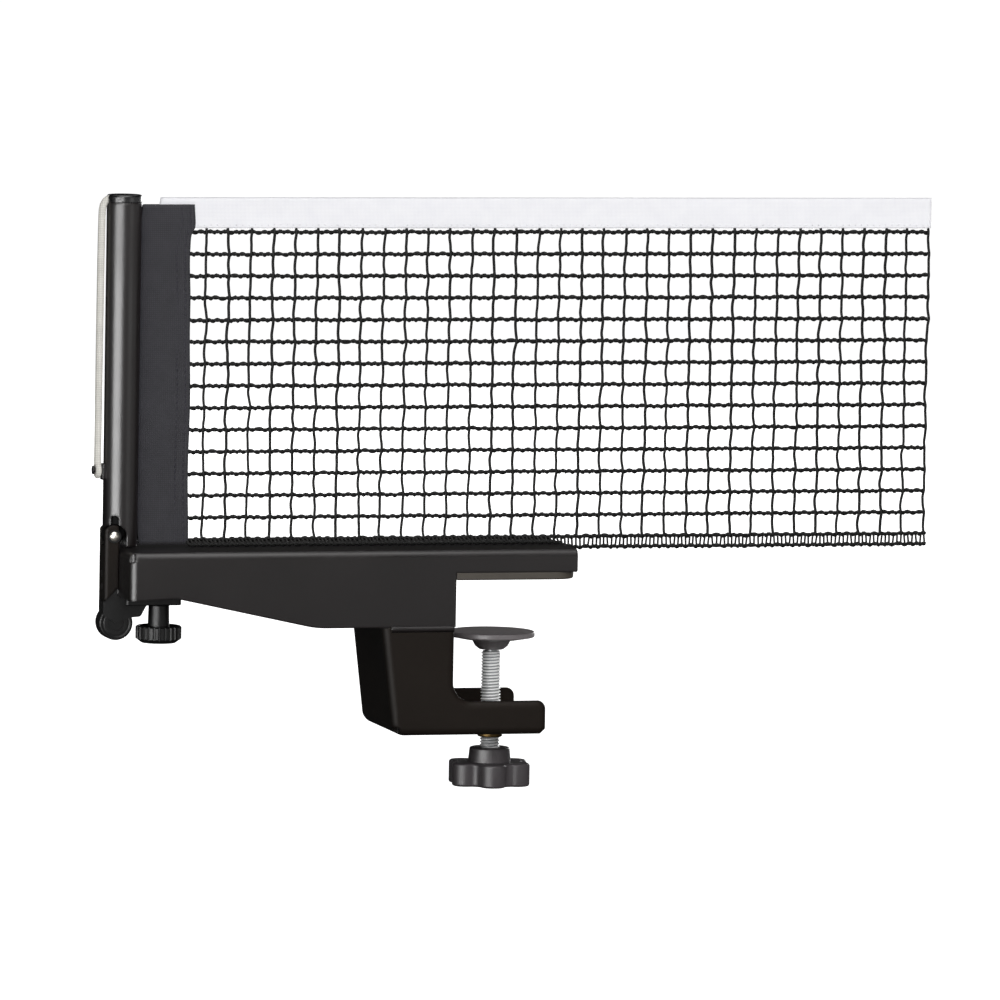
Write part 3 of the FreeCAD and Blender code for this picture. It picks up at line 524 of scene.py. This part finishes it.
ROWS, COLUMNS = 14, 34
FIRST_ROW = TAPE_FOOT - 1.6 * MM
HEM_CORD = HEM_TOP - 1.0 * MM   # the hem's upper cord, which is the row after the last
ROW_PITCH = (FIRST_ROW - HEM_CORD) / ROWS
ROW_LEFT = SLEEVE_EDGE - 3 * MM
ROW_STRAY = 0.9 * MM
FIRST_COLUMN = SLEEVE_EDGE + 6.5 * MM
COLUMN_PITCH = (NET_RIGHT - 0.9 * MM - FIRST_COLUMN) / (COLUMNS - 1)
COLUMN_TOP = FIRST_ROW + 1.5 * MM
COLUMN_STRAY = 2.6 * MM
COLUMN_R = 0.60 * MM
COLUMN_BOW = 0.85 * MM          # how far a column passes in front of a row
BOW_POWER = 6.0                 # higher is a shorter bow

HEM_LEFT = SLEEVE_EDGE + 0.3 * MM
HEM_HEIGHT = HEM_CORD - HEM_FOOT - 0.3 * MM
HEM_STRAY = 0.4 * MM
HEM_LEAN = 3.6 * MM             # its foot lies this far forward on the arm
HEM_DROP = 2.5 * MM             # and hangs this much lower past the arm's end
FREE_FROM, FREE_TO = ARM_END - 5 * MM, ARM_END + 6 * MM
STITCH_PITCH = 1.64 * MM
STITCH_R = 0.46 * MM
STITCH_SLANT = 0.28             # radians, to either side
STITCH_STRAY = 1.6 * MM


def strayed(tree, place, reach):
    """Offsets along X and Z by which the net's cords stray from a true grid, from smooth noise."""
    spots = add(tree, "ShaderNodeTexNoise", {"Vector": place, "Scale": 1 / STRAY_SIZE, "Detail": 1.0})
    centred = add(tree, "ShaderNodeVectorMath", {0: spots.outputs["Color"], 1: (0.5, 0.5, 0.5)},
                  operation="SUBTRACT")
    scaled = add(tree, "ShaderNodeVectorMath", {0: centred, "Scale": reach}, operation="SCALE")
    parts = add(tree, "ShaderNodeSeparateXYZ", {0: scaled}).outputs
    return parts["X"], parts["Z"]


def hang(tree, place, top, height, lean, drop):
    """Y and Z offsets that lay the hem's foot forward on the arm and let it hang past the arm's end."""
    spot = add(tree, "ShaderNodeSeparateXYZ", {0: place}).outputs
    below = add(tree, "ShaderNodeMath", {0: top, 1: spot["Z"]}, operation="SUBTRACT")
    share = add(tree, "ShaderNodeMath", {0: below, 1: height}, operation="DIVIDE")
    free = add(tree, "ShaderNodeMapRange", {"Value": spot["X"], "From Min": FREE_FROM, "From Max": FREE_TO},
               interpolation_type="SMOOTHSTEP")
    laid = add(tree, "ShaderNodeMath", {0: free, 1: 1.0}, operation="SUBTRACT")
    offsets = []
    for amount, reach, sign in ((laid, lean, 1.0), (free, drop, -1.0)):
        full = add(tree, "ShaderNodeMath", {0: amount, 1: reach}, operation="MULTIPLY")
        shared = add(tree, "ShaderNodeMath", {0: full, 1: share}, operation="MULTIPLY")
        offsets.append(add(tree, "ShaderNodeMath", {0: shared, 1: sign}, operation="MULTIPLY"))
    return offsets


def equal_lines(tree, start, offset, count, low, high, steps, turn=(0.0, 0.0, 0.0)):
    """Lines from low to high, with steps points each: the first at start, each next one offset from it."""
    spots = add(tree, "GeometryNodeMeshLine", {"Count": count, "Start Location": start, "Offset": offset})
    run = add(tree, "GeometryNodeCurvePrimitiveLine", {"Start": low, "End": high})
    fine = add(tree, "GeometryNodeResampleCurve", {"Curve": run, "Count": steps})
    lines = add(tree, "GeometryNodeInstanceOnPoints", {"Points": spots, "Instance": fine, "Rotation": turn})
    return add(tree, "GeometryNodeRealizeInstances", {"Geometry": lines})


def cord_along(tree, lines, x, y, z, radius, sides):
    """A cord with closed ends along the lines, whose points are first moved by x, y and z."""
    shift = add(tree, "ShaderNodeCombineXYZ", {"X": x, "Y": y, "Z": z})
    moved = add(tree, "GeometryNodeSetPosition", {"Geometry": lines, "Offset": shift})
    ring = add(tree, "GeometryNodeCurvePrimitiveCircle", {"Resolution": sides, "Radius": radius})
    return add(tree, "GeometryNodeCurveToMesh", {"Curve": moved, "Profile Curve": ring, "Fill Caps": True})


def rows_tree(finish):
    """Level cords of two uneven strands twisted about each other, so that they zigzag."""
    tree, size = geometry_tree("twisted rows",
                               ["Left", "Right", "Top", "Pitch", "Twist", "Stray", "Lean", "Drop"],
                               ["Rows", "Steps"])
    start = add(tree, "ShaderNodeCombineXYZ", {"Z": size["Top"]})
    down = add(tree, "ShaderNodeMath", {0: size["Pitch"], 1: -1.0}, operation="MULTIPLY")
    offset = add(tree, "ShaderNodeCombineXYZ", {"Z": down})
    low = add(tree, "ShaderNodeCombineXYZ", {"X": size["Left"]})
    high = add(tree, "ShaderNodeCombineXYZ", {"X": size["Right"]})
    lines = equal_lines(tree, start, offset, size["Rows"], low, high, size["Steps"])
    place = add(tree, "GeometryNodeInputPosition")
    coarse = add(tree, "ShaderNodeTexNoise", {"Vector": place, "Scale": 1 / SLIP_SIZE, "Detail": 0.0})
    slip = add(tree, "ShaderNodeMath", {0: coarse.outputs["Fac"], 1: SLIP}, operation="MULTIPLY")
    along = add(tree, "ShaderNodeSeparateXYZ", {0: place}).outputs["X"]
    turns = add(tree, "ShaderNodeMath", {0: along, 1: size["Twist"]}, operation="DIVIDE")
    phase = add(tree, "ShaderNodeMath", {0: turns, 1: 2 * math.pi, 2: slip}, operation="MULTIPLY_ADD")
    sine = add(tree, "ShaderNodeMath", {0: phase}, operation="SINE")
    cosine = add(tree, "ShaderNodeMath", {0: phase}, operation="COSINE")
    stray = strayed(tree, place, size["Stray"])
    forward, sunk = hang(tree, place, size["Top"], size["Pitch"], size["Lean"], size["Drop"])
    level = add(tree, "ShaderNodeMath", {0: stray[1], 1: sunk}, operation="ADD")
    joined = add(tree, "GeometryNodeJoinGeometry")
    for radius, throw in STRANDS:
        rise = add(tree, "ShaderNodeMath", {0: sine, 1: throw, 2: level}, operation="MULTIPLY_ADD")
        depth = add(tree, "ShaderNodeMath", {0: cosine, 1: throw, 2: forward}, operation="MULTIPLY_ADD")
        strand = cord_along(tree, lines, 0.0, depth, rise, radius, CORD_SIDES)
        tree.links.new(strand.outputs[0], joined.inputs[0])
    return close_tree(tree, joined, finish)


def columns_tree(finish):
    """Thin upright cords that pass in front of each row."""
    tree, size = geometry_tree("upright cords",
                               ["First", "Pitch", "Foot", "Top", "Row Top", "Row Pitch", "Bow", "Radius",
                                "Stray"], ["Columns", "Steps"])
    start = add(tree, "ShaderNodeCombineXYZ", {"X": size["First"]})
    offset = add(tree, "ShaderNodeCombineXYZ", {"X": size["Pitch"]})
    low = add(tree, "ShaderNodeCombineXYZ", {"Z": size["Foot"]})
    high = add(tree, "ShaderNodeCombineXYZ", {"Z": size["Top"]})
    lines = equal_lines(tree, start, offset, size["Columns"], low, high, size["Steps"])
    place = add(tree, "GeometryNodeInputPosition")
    stray = strayed(tree, place, size["Stray"])
    height = add(tree, "ShaderNodeSeparateXYZ", {0: place}).outputs["Z"]
    above = add(tree, "ShaderNodeMath", {0: height, 1: size["Row Top"]}, operation="SUBTRACT")
    cell = add(tree, "ShaderNodeMath", {0: above, 1: size["Row Pitch"]}, operation="DIVIDE")
    angle = add(tree, "ShaderNodeMath", {0: cell, 1: math.pi}, operation="MULTIPLY")
    cosine = add(tree, "ShaderNodeMath", {0: angle}, operation="COSINE")
    hump = add(tree, "ShaderNodeMath", {0: cosine, 1: BOW_POWER}, operation="POWER")
    bowed = add(tree, "ShaderNodeMath", {0: hump, 1: size["Bow"]}, operation="MULTIPLY")
    front = add(tree, "ShaderNodeMath", {0: bowed, 1: -1.0}, operation="MULTIPLY")
    cords = cord_along(tree, lines, stray[0], front, 0.0, size["Radius"], CORD_SIDES)
    return close_tree(tree, cords, finish)


def stitches_tree(finish):
    """Short slanting stitches between the hem's two cords."""
    tree, size = geometry_tree("hem stitches",
                               ["Left", "Pitch", "Middle", "Height", "Slant", "Radius", "Lean", "Drop",
                                "Stray"], ["Count", "Seed"])
    start = add(tree, "ShaderNodeCombineXYZ", {"X": size["Left"], "Z": size["Middle"]})
    offset = add(tree, "ShaderNodeCombineXYZ", {"X": size["Pitch"]})
    half = add(tree, "ShaderNodeMath", {0: size["Height"], 1: 0.5}, operation="MULTIPLY")
    minus = add(tree, "ShaderNodeMath", {0: half, 1: -1.0}, operation="MULTIPLY")
    low = add(tree, "ShaderNodeCombineXYZ", {"Z": minus})
    high = add(tree, "ShaderNodeCombineXYZ", {"Z": half})
    least = add(tree, "ShaderNodeMath", {0: size["Slant"], 1: -1.0}, operation="MULTIPLY")
    slant = add(tree, "FunctionNodeRandomValue", {2: least, 3: size["Slant"], "Seed": size["Seed"]},
                data_type="FLOAT").outputs[1]
    turn = add(tree, "ShaderNodeCombineXYZ", {"Y": slant})
    lines = equal_lines(tree, start, offset, size["Count"], low, high, STITCH_STEPS, turn)
    place = add(tree, "GeometryNodeInputPosition")
    stray = strayed(tree, place, size["Stray"])
    top = add(tree, "ShaderNodeMath", {0: size["Middle"], 1: half}, operation="ADD")
    forward, sunk = hang(tree, place, top, size["Height"], size["Lean"], size["Drop"])
    cords = cord_along(tree, lines, stray[0], forward, sunk, size["Radius"], STITCH_SIDES)
    return close_tree(tree, cords, finish)


def make_net():
    black, loose = FINISHES["black_net_cord"], FINISHES["hem_thread"]
    twisted = rows_tree(black)
    rows = grow("net_rows", twisted, {
        "Left": ROW_LEFT, "Right": NET_RIGHT - 0.7 * MM, "Top": FIRST_ROW, "Pitch": ROW_PITCH,
        "Twist": TWIST, "Stray": ROW_STRAY, "Lean": 0.0, "Drop": 0.0, "Rows": ROWS, "Steps": ROW_STEPS,
    }, black, "post")
    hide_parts("net_mesh")
    grow("net_columns", columns_tree(black), {
        "First": FIRST_COLUMN, "Pitch": COLUMN_PITCH, "Foot": HEM_CORD, "Top": COLUMN_TOP,
        "Row Top": FIRST_ROW, "Row Pitch": ROW_PITCH, "Bow": COLUMN_BOW, "Radius": COLUMN_R,
        "Stray": COLUMN_STRAY, "Columns": COLUMNS, "Steps": COLUMN_STEPS,
    }, black, "post")
    hem = grow("hem_cords", twisted, {
        "Left": HEM_LEFT, "Right": NET_RIGHT + 0.5 * MM, "Top": HEM_CORD, "Pitch": HEM_HEIGHT,
        "Twist": TWIST, "Stray": HEM_STRAY, "Lean": HEM_LEAN, "Drop": HEM_DROP, "Rows": 2,
        "Steps": ROW_STEPS,
    }, black, "post")
    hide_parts("net_hem")
    grow("hem_stitches", stitches_tree(loose), {
        "Left": HEM_LEFT, "Pitch": STITCH_PITCH, "Middle": HEM_CORD - HEM_HEIGHT / 2, "Height": HEM_HEIGHT,
        "Slant": STITCH_SLANT, "Radius": STITCH_R, "Lean": HEM_LEAN, "Drop": HEM_DROP,
        "Stray": STITCH_STRAY, "Count": int((NET_RIGHT - HEM_LEFT) / STITCH_PITCH) + 1, "Seed": 4,
    }, loose, "post")


# Tape: folded over the net's top edge

TAPE_LAYER = 0.28 * MM      # thickness of one layer
TAPE_GAP = 0.16 * MM        # from the middle plane to a layer's inner face
TAPE_SKEW = 0.9 * MM        # how far its left end is cut askew, up and down from the middle
FREE_LENGTH = 25 * MM       # the sleeve holds the tape still, and it sways fully this far from it
SWAYS = ((0.30 * MM, 21 * MM, 0.0), (0.16 * MM, 8.3 * MM, 1.0))     # height, length over 2 pi, start
FOLD_SWAY = 0.3             # the folded top edge is stiffer, and sways only by this share


def tape_sway(x, z):
    """How far the tape leaves the net's plane: two shallow waves, least at its foot and its top."""
    share = (z - TAPE_FOOT) / (NET_TOP - TAPE_FOOT)
    free = min(1.0, max(0.0, (x - SLEEVE_EDGE) / FREE_LENGTH))
    sway = sum(height * math.sin(x / length + start) for height, length, start in SWAYS)
    return free * sway * (0.25 + 0.75 * math.sin(math.pi * share))


def make_tape():
    low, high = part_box("net_tape")
    middle = TAPE_GAP + TAPE_LAYER / 2
    side = NET_TOP - TAPE_LAYER / 2 - middle - TAPE_FOOT
    arc = math.pi * middle
    width = 2 * side + arc

    def place(u, v):
        """u runs along the tape, v up its front, over the fold and down its back."""
        along = v * width
        if along < side:
            y, z, sway = -middle, TAPE_FOOT + along, 1.0
        elif along > side + arc:
            y, z, sway = middle, TAPE_FOOT + width - along, 1.0
        else:
            turn = (along - side) / middle
            y, z, sway = -middle * math.cos(turn), TAPE_FOOT + side + middle * math.sin(turn), FOLD_SWAY
        share = (z - TAPE_FOOT) / (NET_TOP - TAPE_FOOT)
        x = low.x + (high.x - low.x) * u + TAPE_SKEW * (2 * share - 1) * (1 - u) ** 12
        return x, y + sway * tape_sway(x, z), z

    tape = cloth_grid("top_tape", 220, 30, place)
    thick = tape.modifiers.new("layer", "SOLIDIFY")
    thick.thickness, thick.offset = TAPE_LAYER, 0.0
    settle(tape, FINISHES["white_tape"], "post")
    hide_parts("net_tape")


# Sleeve: one strip of canvas, from its turned edge along the front, round the rod and back

CANVAS = 0.42 * MM          # thickness of the cloth
POST_X = -158.7 * MM
SLOT_X = POST_X + 7.3 * MM  # where the strip comes out of the post's slot
ROD_R = 2.4 * MM
LOOP_R = ROD_R + 0.4 * MM   # the cloth's middle where it goes round the rod
TURNED_IN = 6 * MM          # width of the turned edge
FACE, LINING = 0.95 * MM, 0.48 * MM     # the outer and the turned layer, from the net's plane


def sleeve_edge(z):
    """The sleeve's right edge: a flap over the tape's end, drawn in below it, then nearly straight."""
    below_tape = (TAPE_FOOT - 1.0 * MM - z) / (0.7 * MM)
    flap = (1.8 * MM - 0.06 * (z - TAPE_FOOT)) / (1 + math.exp(below_tape))
    drawn = -0.9 * MM * math.exp(-((z - (TAPE_FOOT - 13 * MM)) / (12 * MM)) ** 2)
    return SLEEVE_EDGE + flap + drawn + 0.25 * MM * math.sin(z / (9 * MM))


def make_sleeve():
    low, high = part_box("net_sleeve")
    inner_low, inner_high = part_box("net_rod")[0].z + 0.5 * MM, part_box("net_rod")[1].z - 0.5 * MM
    lead = math.asin(FACE / LOOP_R)
    straight = SLEEVE_EDGE - POST_X - LOOP_R * math.cos(lead)
    round_rod = LOOP_R * (2 * math.pi - 2 * lead)
    bend = (FACE - LINING) / 2
    fold = math.pi * bend
    width = 2 * (TURNED_IN + fold + straight) + round_rod

    def plan(along, z):
        """Point of the strip in plan, as x, y, at a distance from its cut edge, up to the loop's middle."""
        edge = sleeve_edge(z)
        if along < TURNED_IN:
            return edge - TURNED_IN + along, -LINING
        along -= TURNED_IN
        if along < fold:
            turn = math.pi * along / fold
            return edge + bend * math.sin(turn), -(LINING + FACE) / 2 + bend * math.cos(turn)
        along -= fold
        if along < straight:
            return edge + (POST_X + LOOP_R * math.cos(lead) - edge) * along / straight, -FACE
        turn = lead + (along - straight) / LOOP_R
        return POST_X + LOOP_R * math.cos(turn), -LOOP_R * math.sin(turn)

    def place(u, v):
        """u runs along the strip, v up the sleeve. Inside the post it is a little shorter."""
        side = -1 if u > 0.5 else 1
        along = width * min(u, 1 - u)
        x, _ = plan(along, (low.z + high.z) / 2)
        inside = min(1.0, max(0.0, (SLOT_X + 0.2 * MM - x) / (1.2 * MM)))
        bottom = low.z + (inner_low - low.z) * inside
        top = high.z - 0.2 * MM + (inner_high - high.z + 0.2 * MM) * inside
        z = bottom + (top - bottom) * v
        x, y = plan(along, z)
        across = min(1.0, max(0.0, (x - SLOT_X) / (SLEEVE_EDGE - SLOT_X)))
        loose = math.sin(math.pi * across) * (1 - inside)
        puff = 0.14 * math.sin(z / (6.1 * MM) + side) + 0.12 * math.sin(z / (15 * MM) + x / (5 * MM))
        return x, side * (y + loose * puff * MM), z

    sleeve = cloth_grid("canvas_sleeve", 150, 90, place)
    thick = sleeve.modifiers.new("cloth", "SOLIDIFY")
    thick.thickness, thick.offset = CANVAS, 0.0
    settle(sleeve, FINISHES["dark_canvas"], "post")
    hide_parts("net_sleeve")


# Seams: long beads of thread in a row along each seam, on both faces of the cloth

SLEEVE_SEAMS = (1.8 * MM, 5.2 * MM)     # in from the sleeve's right edge
SLEEVE_FACE = 1.16 * MM                 # the cloth's outer face, from the net's plane
TAPE_SEAM = TAPE_FOOT + 1.4 * MM


def seam_tree(finish):
    """Long beads that lie along the paths they are given, Pitch apart."""
    tree, size = geometry_tree("beads on a path", ["Pitch", "Length", "Radius", "Depth"], ["Around"])
    path = add(tree, "GeometryNodeMeshToCurve", {"Mesh": size["Geometry"]})
    spots = add(tree, "GeometryNodeResampleCurve", {"Curve": path, "Length": size["Pitch"]}, mode="LENGTH")
    ball = add(tree, "GeometryNodeMeshUVSphere", {"Segments": size["Around"], "Rings": 5, "Radius": 1.0})
    along = add(tree, "GeometryNodeInputTangent")
    turn = add(tree, "FunctionNodeAlignRotationToVector", {"Vector": along}, axis="Z", pivot_axis="X")
    turn = add(tree, "FunctionNodeAlignRotationToVector", {"Rotation": turn, "Vector": (0.0, 1.0, 0.0)},
               axis="Y", pivot_axis="Z")
    half = add(tree, "ShaderNodeMath", {0: size["Length"], 1: 0.5}, operation="MULTIPLY")
    shape = add(tree, "ShaderNodeCombineXYZ", {"X": size["Radius"], "Y": size["Depth"], "Z": half})
    beads = add(tree, "GeometryNodeInstanceOnPoints", {"Points": spots, "Instance": ball,
                                                       "Rotation": turn, "Scale": shape})
    return close_tree(tree, beads, finish)


def make_seams():
    canvas_thread, white_thread = FINISHES["canvas_thread"], FINISHES["tape_thread"]
    low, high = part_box("net_sleeve")
    foot, top = low.z + 1.5 * MM, high.z - 1.5 * MM
    heights = [foot + (top - foot) * i / 60 for i in range(61)]
    seams = [[(sleeve_edge(z) - inward, side * SLEEVE_FACE, z) for z in heights]
             for inward in SLEEVE_SEAMS for side in (-1, 1)]
    grow("sleeve_stitches", seam_tree(canvas_thread), {
        "Pitch": 2.5 * MM, "Length": 1.9 * MM, "Radius": 0.26 * MM, "Depth": 0.2 * MM, "Around": 6,
    }, canvas_thread, "post", seams)
    left, right = SLEEVE_EDGE + 3 * MM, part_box("net_tape")[1].x - 1 * MM
    places = [left + (right - left) * i / 200 for i in range(201)]
    seams = [[(x, tape_sway(x, TAPE_SEAM) + side * (TAPE_GAP + TAPE_LAYER), TAPE_SEAM) for x in places]
             for side in (-1, 1)]
    grow("tape_stitches", seam_tree(white_thread), {
        "Pitch": 2.6 * MM, "Length": 2.0 * MM, "Radius": 0.22 * MM, "Depth": 0.14 * MM, "Around": 6,
    }, white_thread, "post", seams)


# Threaded rods: an M8 screw with a ball tip, and an M6 stud

def thread_tree(finish):
    """A grid rolled into a rod with a helical groove, bevelled and shut at both ends."""
    tree, size = geometry_tree("rolled thread",
                               ["Centre X", "Foot", "Length", "Radius", "Depth", "Pitch", "Bevel"],
                               ["Around", "Along"])
    grid = add(tree, "GeometryNodeMeshGrid", {"Size X": 1.0, "Size Y": 1.0, "Vertices X": size["Around"],
                                              "Vertices Y": size["Along"]})
    place = add(tree, "ShaderNodeSeparateXYZ", {0: add(tree, "GeometryNodeInputPosition")}).outputs
    u = add(tree, "ShaderNodeMath", {0: place["X"], 1: 0.5}, operation="ADD")
    v = add(tree, "ShaderNodeMath", {0: place["Y"], 1: 0.5}, operation="ADD")
    lift = add(tree, "ShaderNodeMath", {0: v, 1: size["Length"]}, operation="MULTIPLY")
    turns = add(tree, "ShaderNodeMath", {0: lift, 1: size["Pitch"]}, operation="DIVIDE")
    wound = add(tree, "ShaderNodeMath", {0: turns, 1: u}, operation="SUBTRACT")
    wave = add(tree, "ShaderNodeMath", {0: wound, 1: 0.5}, operation="PINGPONG")
    flank = add(tree, "ShaderNodeMapRange", {"Value": wave, "From Min": 0.06, "From Max": 0.44})
    groove = add(tree, "ShaderNodeMath", {0: flank, 1: size["Depth"]}, operation="MULTIPLY")
    thread = add(tree, "ShaderNodeMath", {0: size["Radius"], 1: groove}, operation="SUBTRACT")
    above = add(tree, "ShaderNodeMath", {0: size["Length"], 1: lift}, operation="SUBTRACT")
    to_end = add(tree, "ShaderNodeMath", {0: lift, 1: above}, operation="MINIMUM")
    end_radius = add(tree, "ShaderNodeMath", {0: size["Radius"], 1: size["Bevel"]}, operation="SUBTRACT")
    cone = add(tree, "ShaderNodeMath", {0: to_end, 1: end_radius}, operation="ADD")
    least = add(tree, "ShaderNodeMath", {0: thread, 1: cone}, operation="MINIMUM")
    open_row = add(tree, "ShaderNodeMath", {0: to_end, 1: 0.001 * MM}, operation="GREATER_THAN")
    radius = add(tree, "ShaderNodeMath", {0: least, 1: open_row}, operation="MULTIPLY")
    angle = add(tree, "ShaderNodeMath", {0: u, 1: 2 * math.pi}, operation="MULTIPLY")
    cosine = add(tree, "ShaderNodeMath", {0: angle}, operation="COSINE")
    sine = add(tree, "ShaderNodeMath", {0: angle}, operation="SINE")
    x = add(tree, "ShaderNodeMath", {0: cosine, 1: radius, 2: size["Centre X"]}, operation="MULTIPLY_ADD")
    y = add(tree, "ShaderNodeMath", {0: sine, 1: radius}, operation="MULTIPLY")
    z = add(tree, "ShaderNodeMath", {0: lift, 1: size["Foot"]}, operation="ADD")
    spot = add(tree, "ShaderNodeCombineXYZ", {"X": x, "Y": y, "Z": z})
    coiled = add(tree, "GeometryNodeSetPosition", {"Geometry": grid, "Position": spot})
    shut = add(tree, "GeometryNodeMergeByDistance", {"Geometry": coiled, "Distance": 0.002 * MM})
    return close_tree(tree, shut, finish)


def threaded_rod(name, node, body, top, values, root, crest):
    """A threaded rod in the place of a solid, up to top. Between root and crest its colour goes from
    painted shade to a painted highlight.
    """
    low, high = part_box(node)
    centre = (low.x + high.x) / 2
    finish = material("zinc plated rolled " + name.replace("_", " "), rolled(centre, root, crest))
    made = grow(name, thread_tree(finish), {
        "Centre X": centre, "Foot": low.z, "Length": top - low.z, **values,
    }, finish, body)
    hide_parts(node)


def make_screw():
    """The M8 clamp screw, threaded up to the disc's boss, with the ball on which the disc swivels."""
    low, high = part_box("clamp_screw")
    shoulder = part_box("pressure_disc")[0].z - 0.6 * MM
    threaded_rod("screw_thread", "clamp_screw", "screw", shoulder, {
        "Radius": 4 * MM, "Depth": 0.62 * MM, "Pitch": 1.25 * MM, "Bevel": 0.7 * MM,
        "Around": 49, "Along": 410,
    }, root=3.42 * MM, crest=3.75 * MM)
    ball_r, neck_r = 3.2 * MM, 2.4 * MM
    ball_z = high.z - ball_r
    neck_foot = shoulder - 0.5 * MM
    profile = [(0, neck_foot), (neck_r, neck_foot)]
    first = -math.acos(neck_r / ball_r)
    for i in range(12):
        lean = first + (math.pi / 2 - first) * i / 12
        profile.append((ball_r * math.cos(lean), ball_z + ball_r * math.sin(lean)))
    profile.append((0, high.z))
    ball = turned_piece("screw_ball", profile, (low.x + high.x) / 2)
    settle(ball, FINISHES["clear_zinc"], "screw")


def make_stud():
    """The M6 stud of the height adjuster."""
    threaded_rod("stud_thread", "height_stud", "height_screw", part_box("height_stud")[1].z, {
        "Radius": 3 * MM, "Depth": 0.5 * MM, "Pitch": 1.0 * MM, "Bevel": 0.6 * MM,
        "Around": 37, "Along": 260,
    }, root=2.53 * MM, crest=2.80 * MM)


# The other solids keep their shape and get their finish, most of them by their slot

# The tube plug takes the nylon that is darkened as painted shade.
OWN_FINISH = {"hinge_channel": "matt_powder_coat", "lower_jaw": "matt_powder_coat",
              "post_cap": "gloss_nylon", "tube_plug": "shade_dark_nylon"}


def finish_nodes():
    slots = {row["node"]: row["material_slot"] for row in frame["record"]["subparts"]}
    for name, node in frame["nodes"].items():
        node.data.materials.clear()
        node.data.materials.append(FINISHES[OWN_FINISH.get(name, slots[name])])


finish_nodes()
make_camera()
make_studio()
make_tension_cord()
make_net()
make_tape()
make_sleeve()
make_seams()
make_screw()
make_stud()
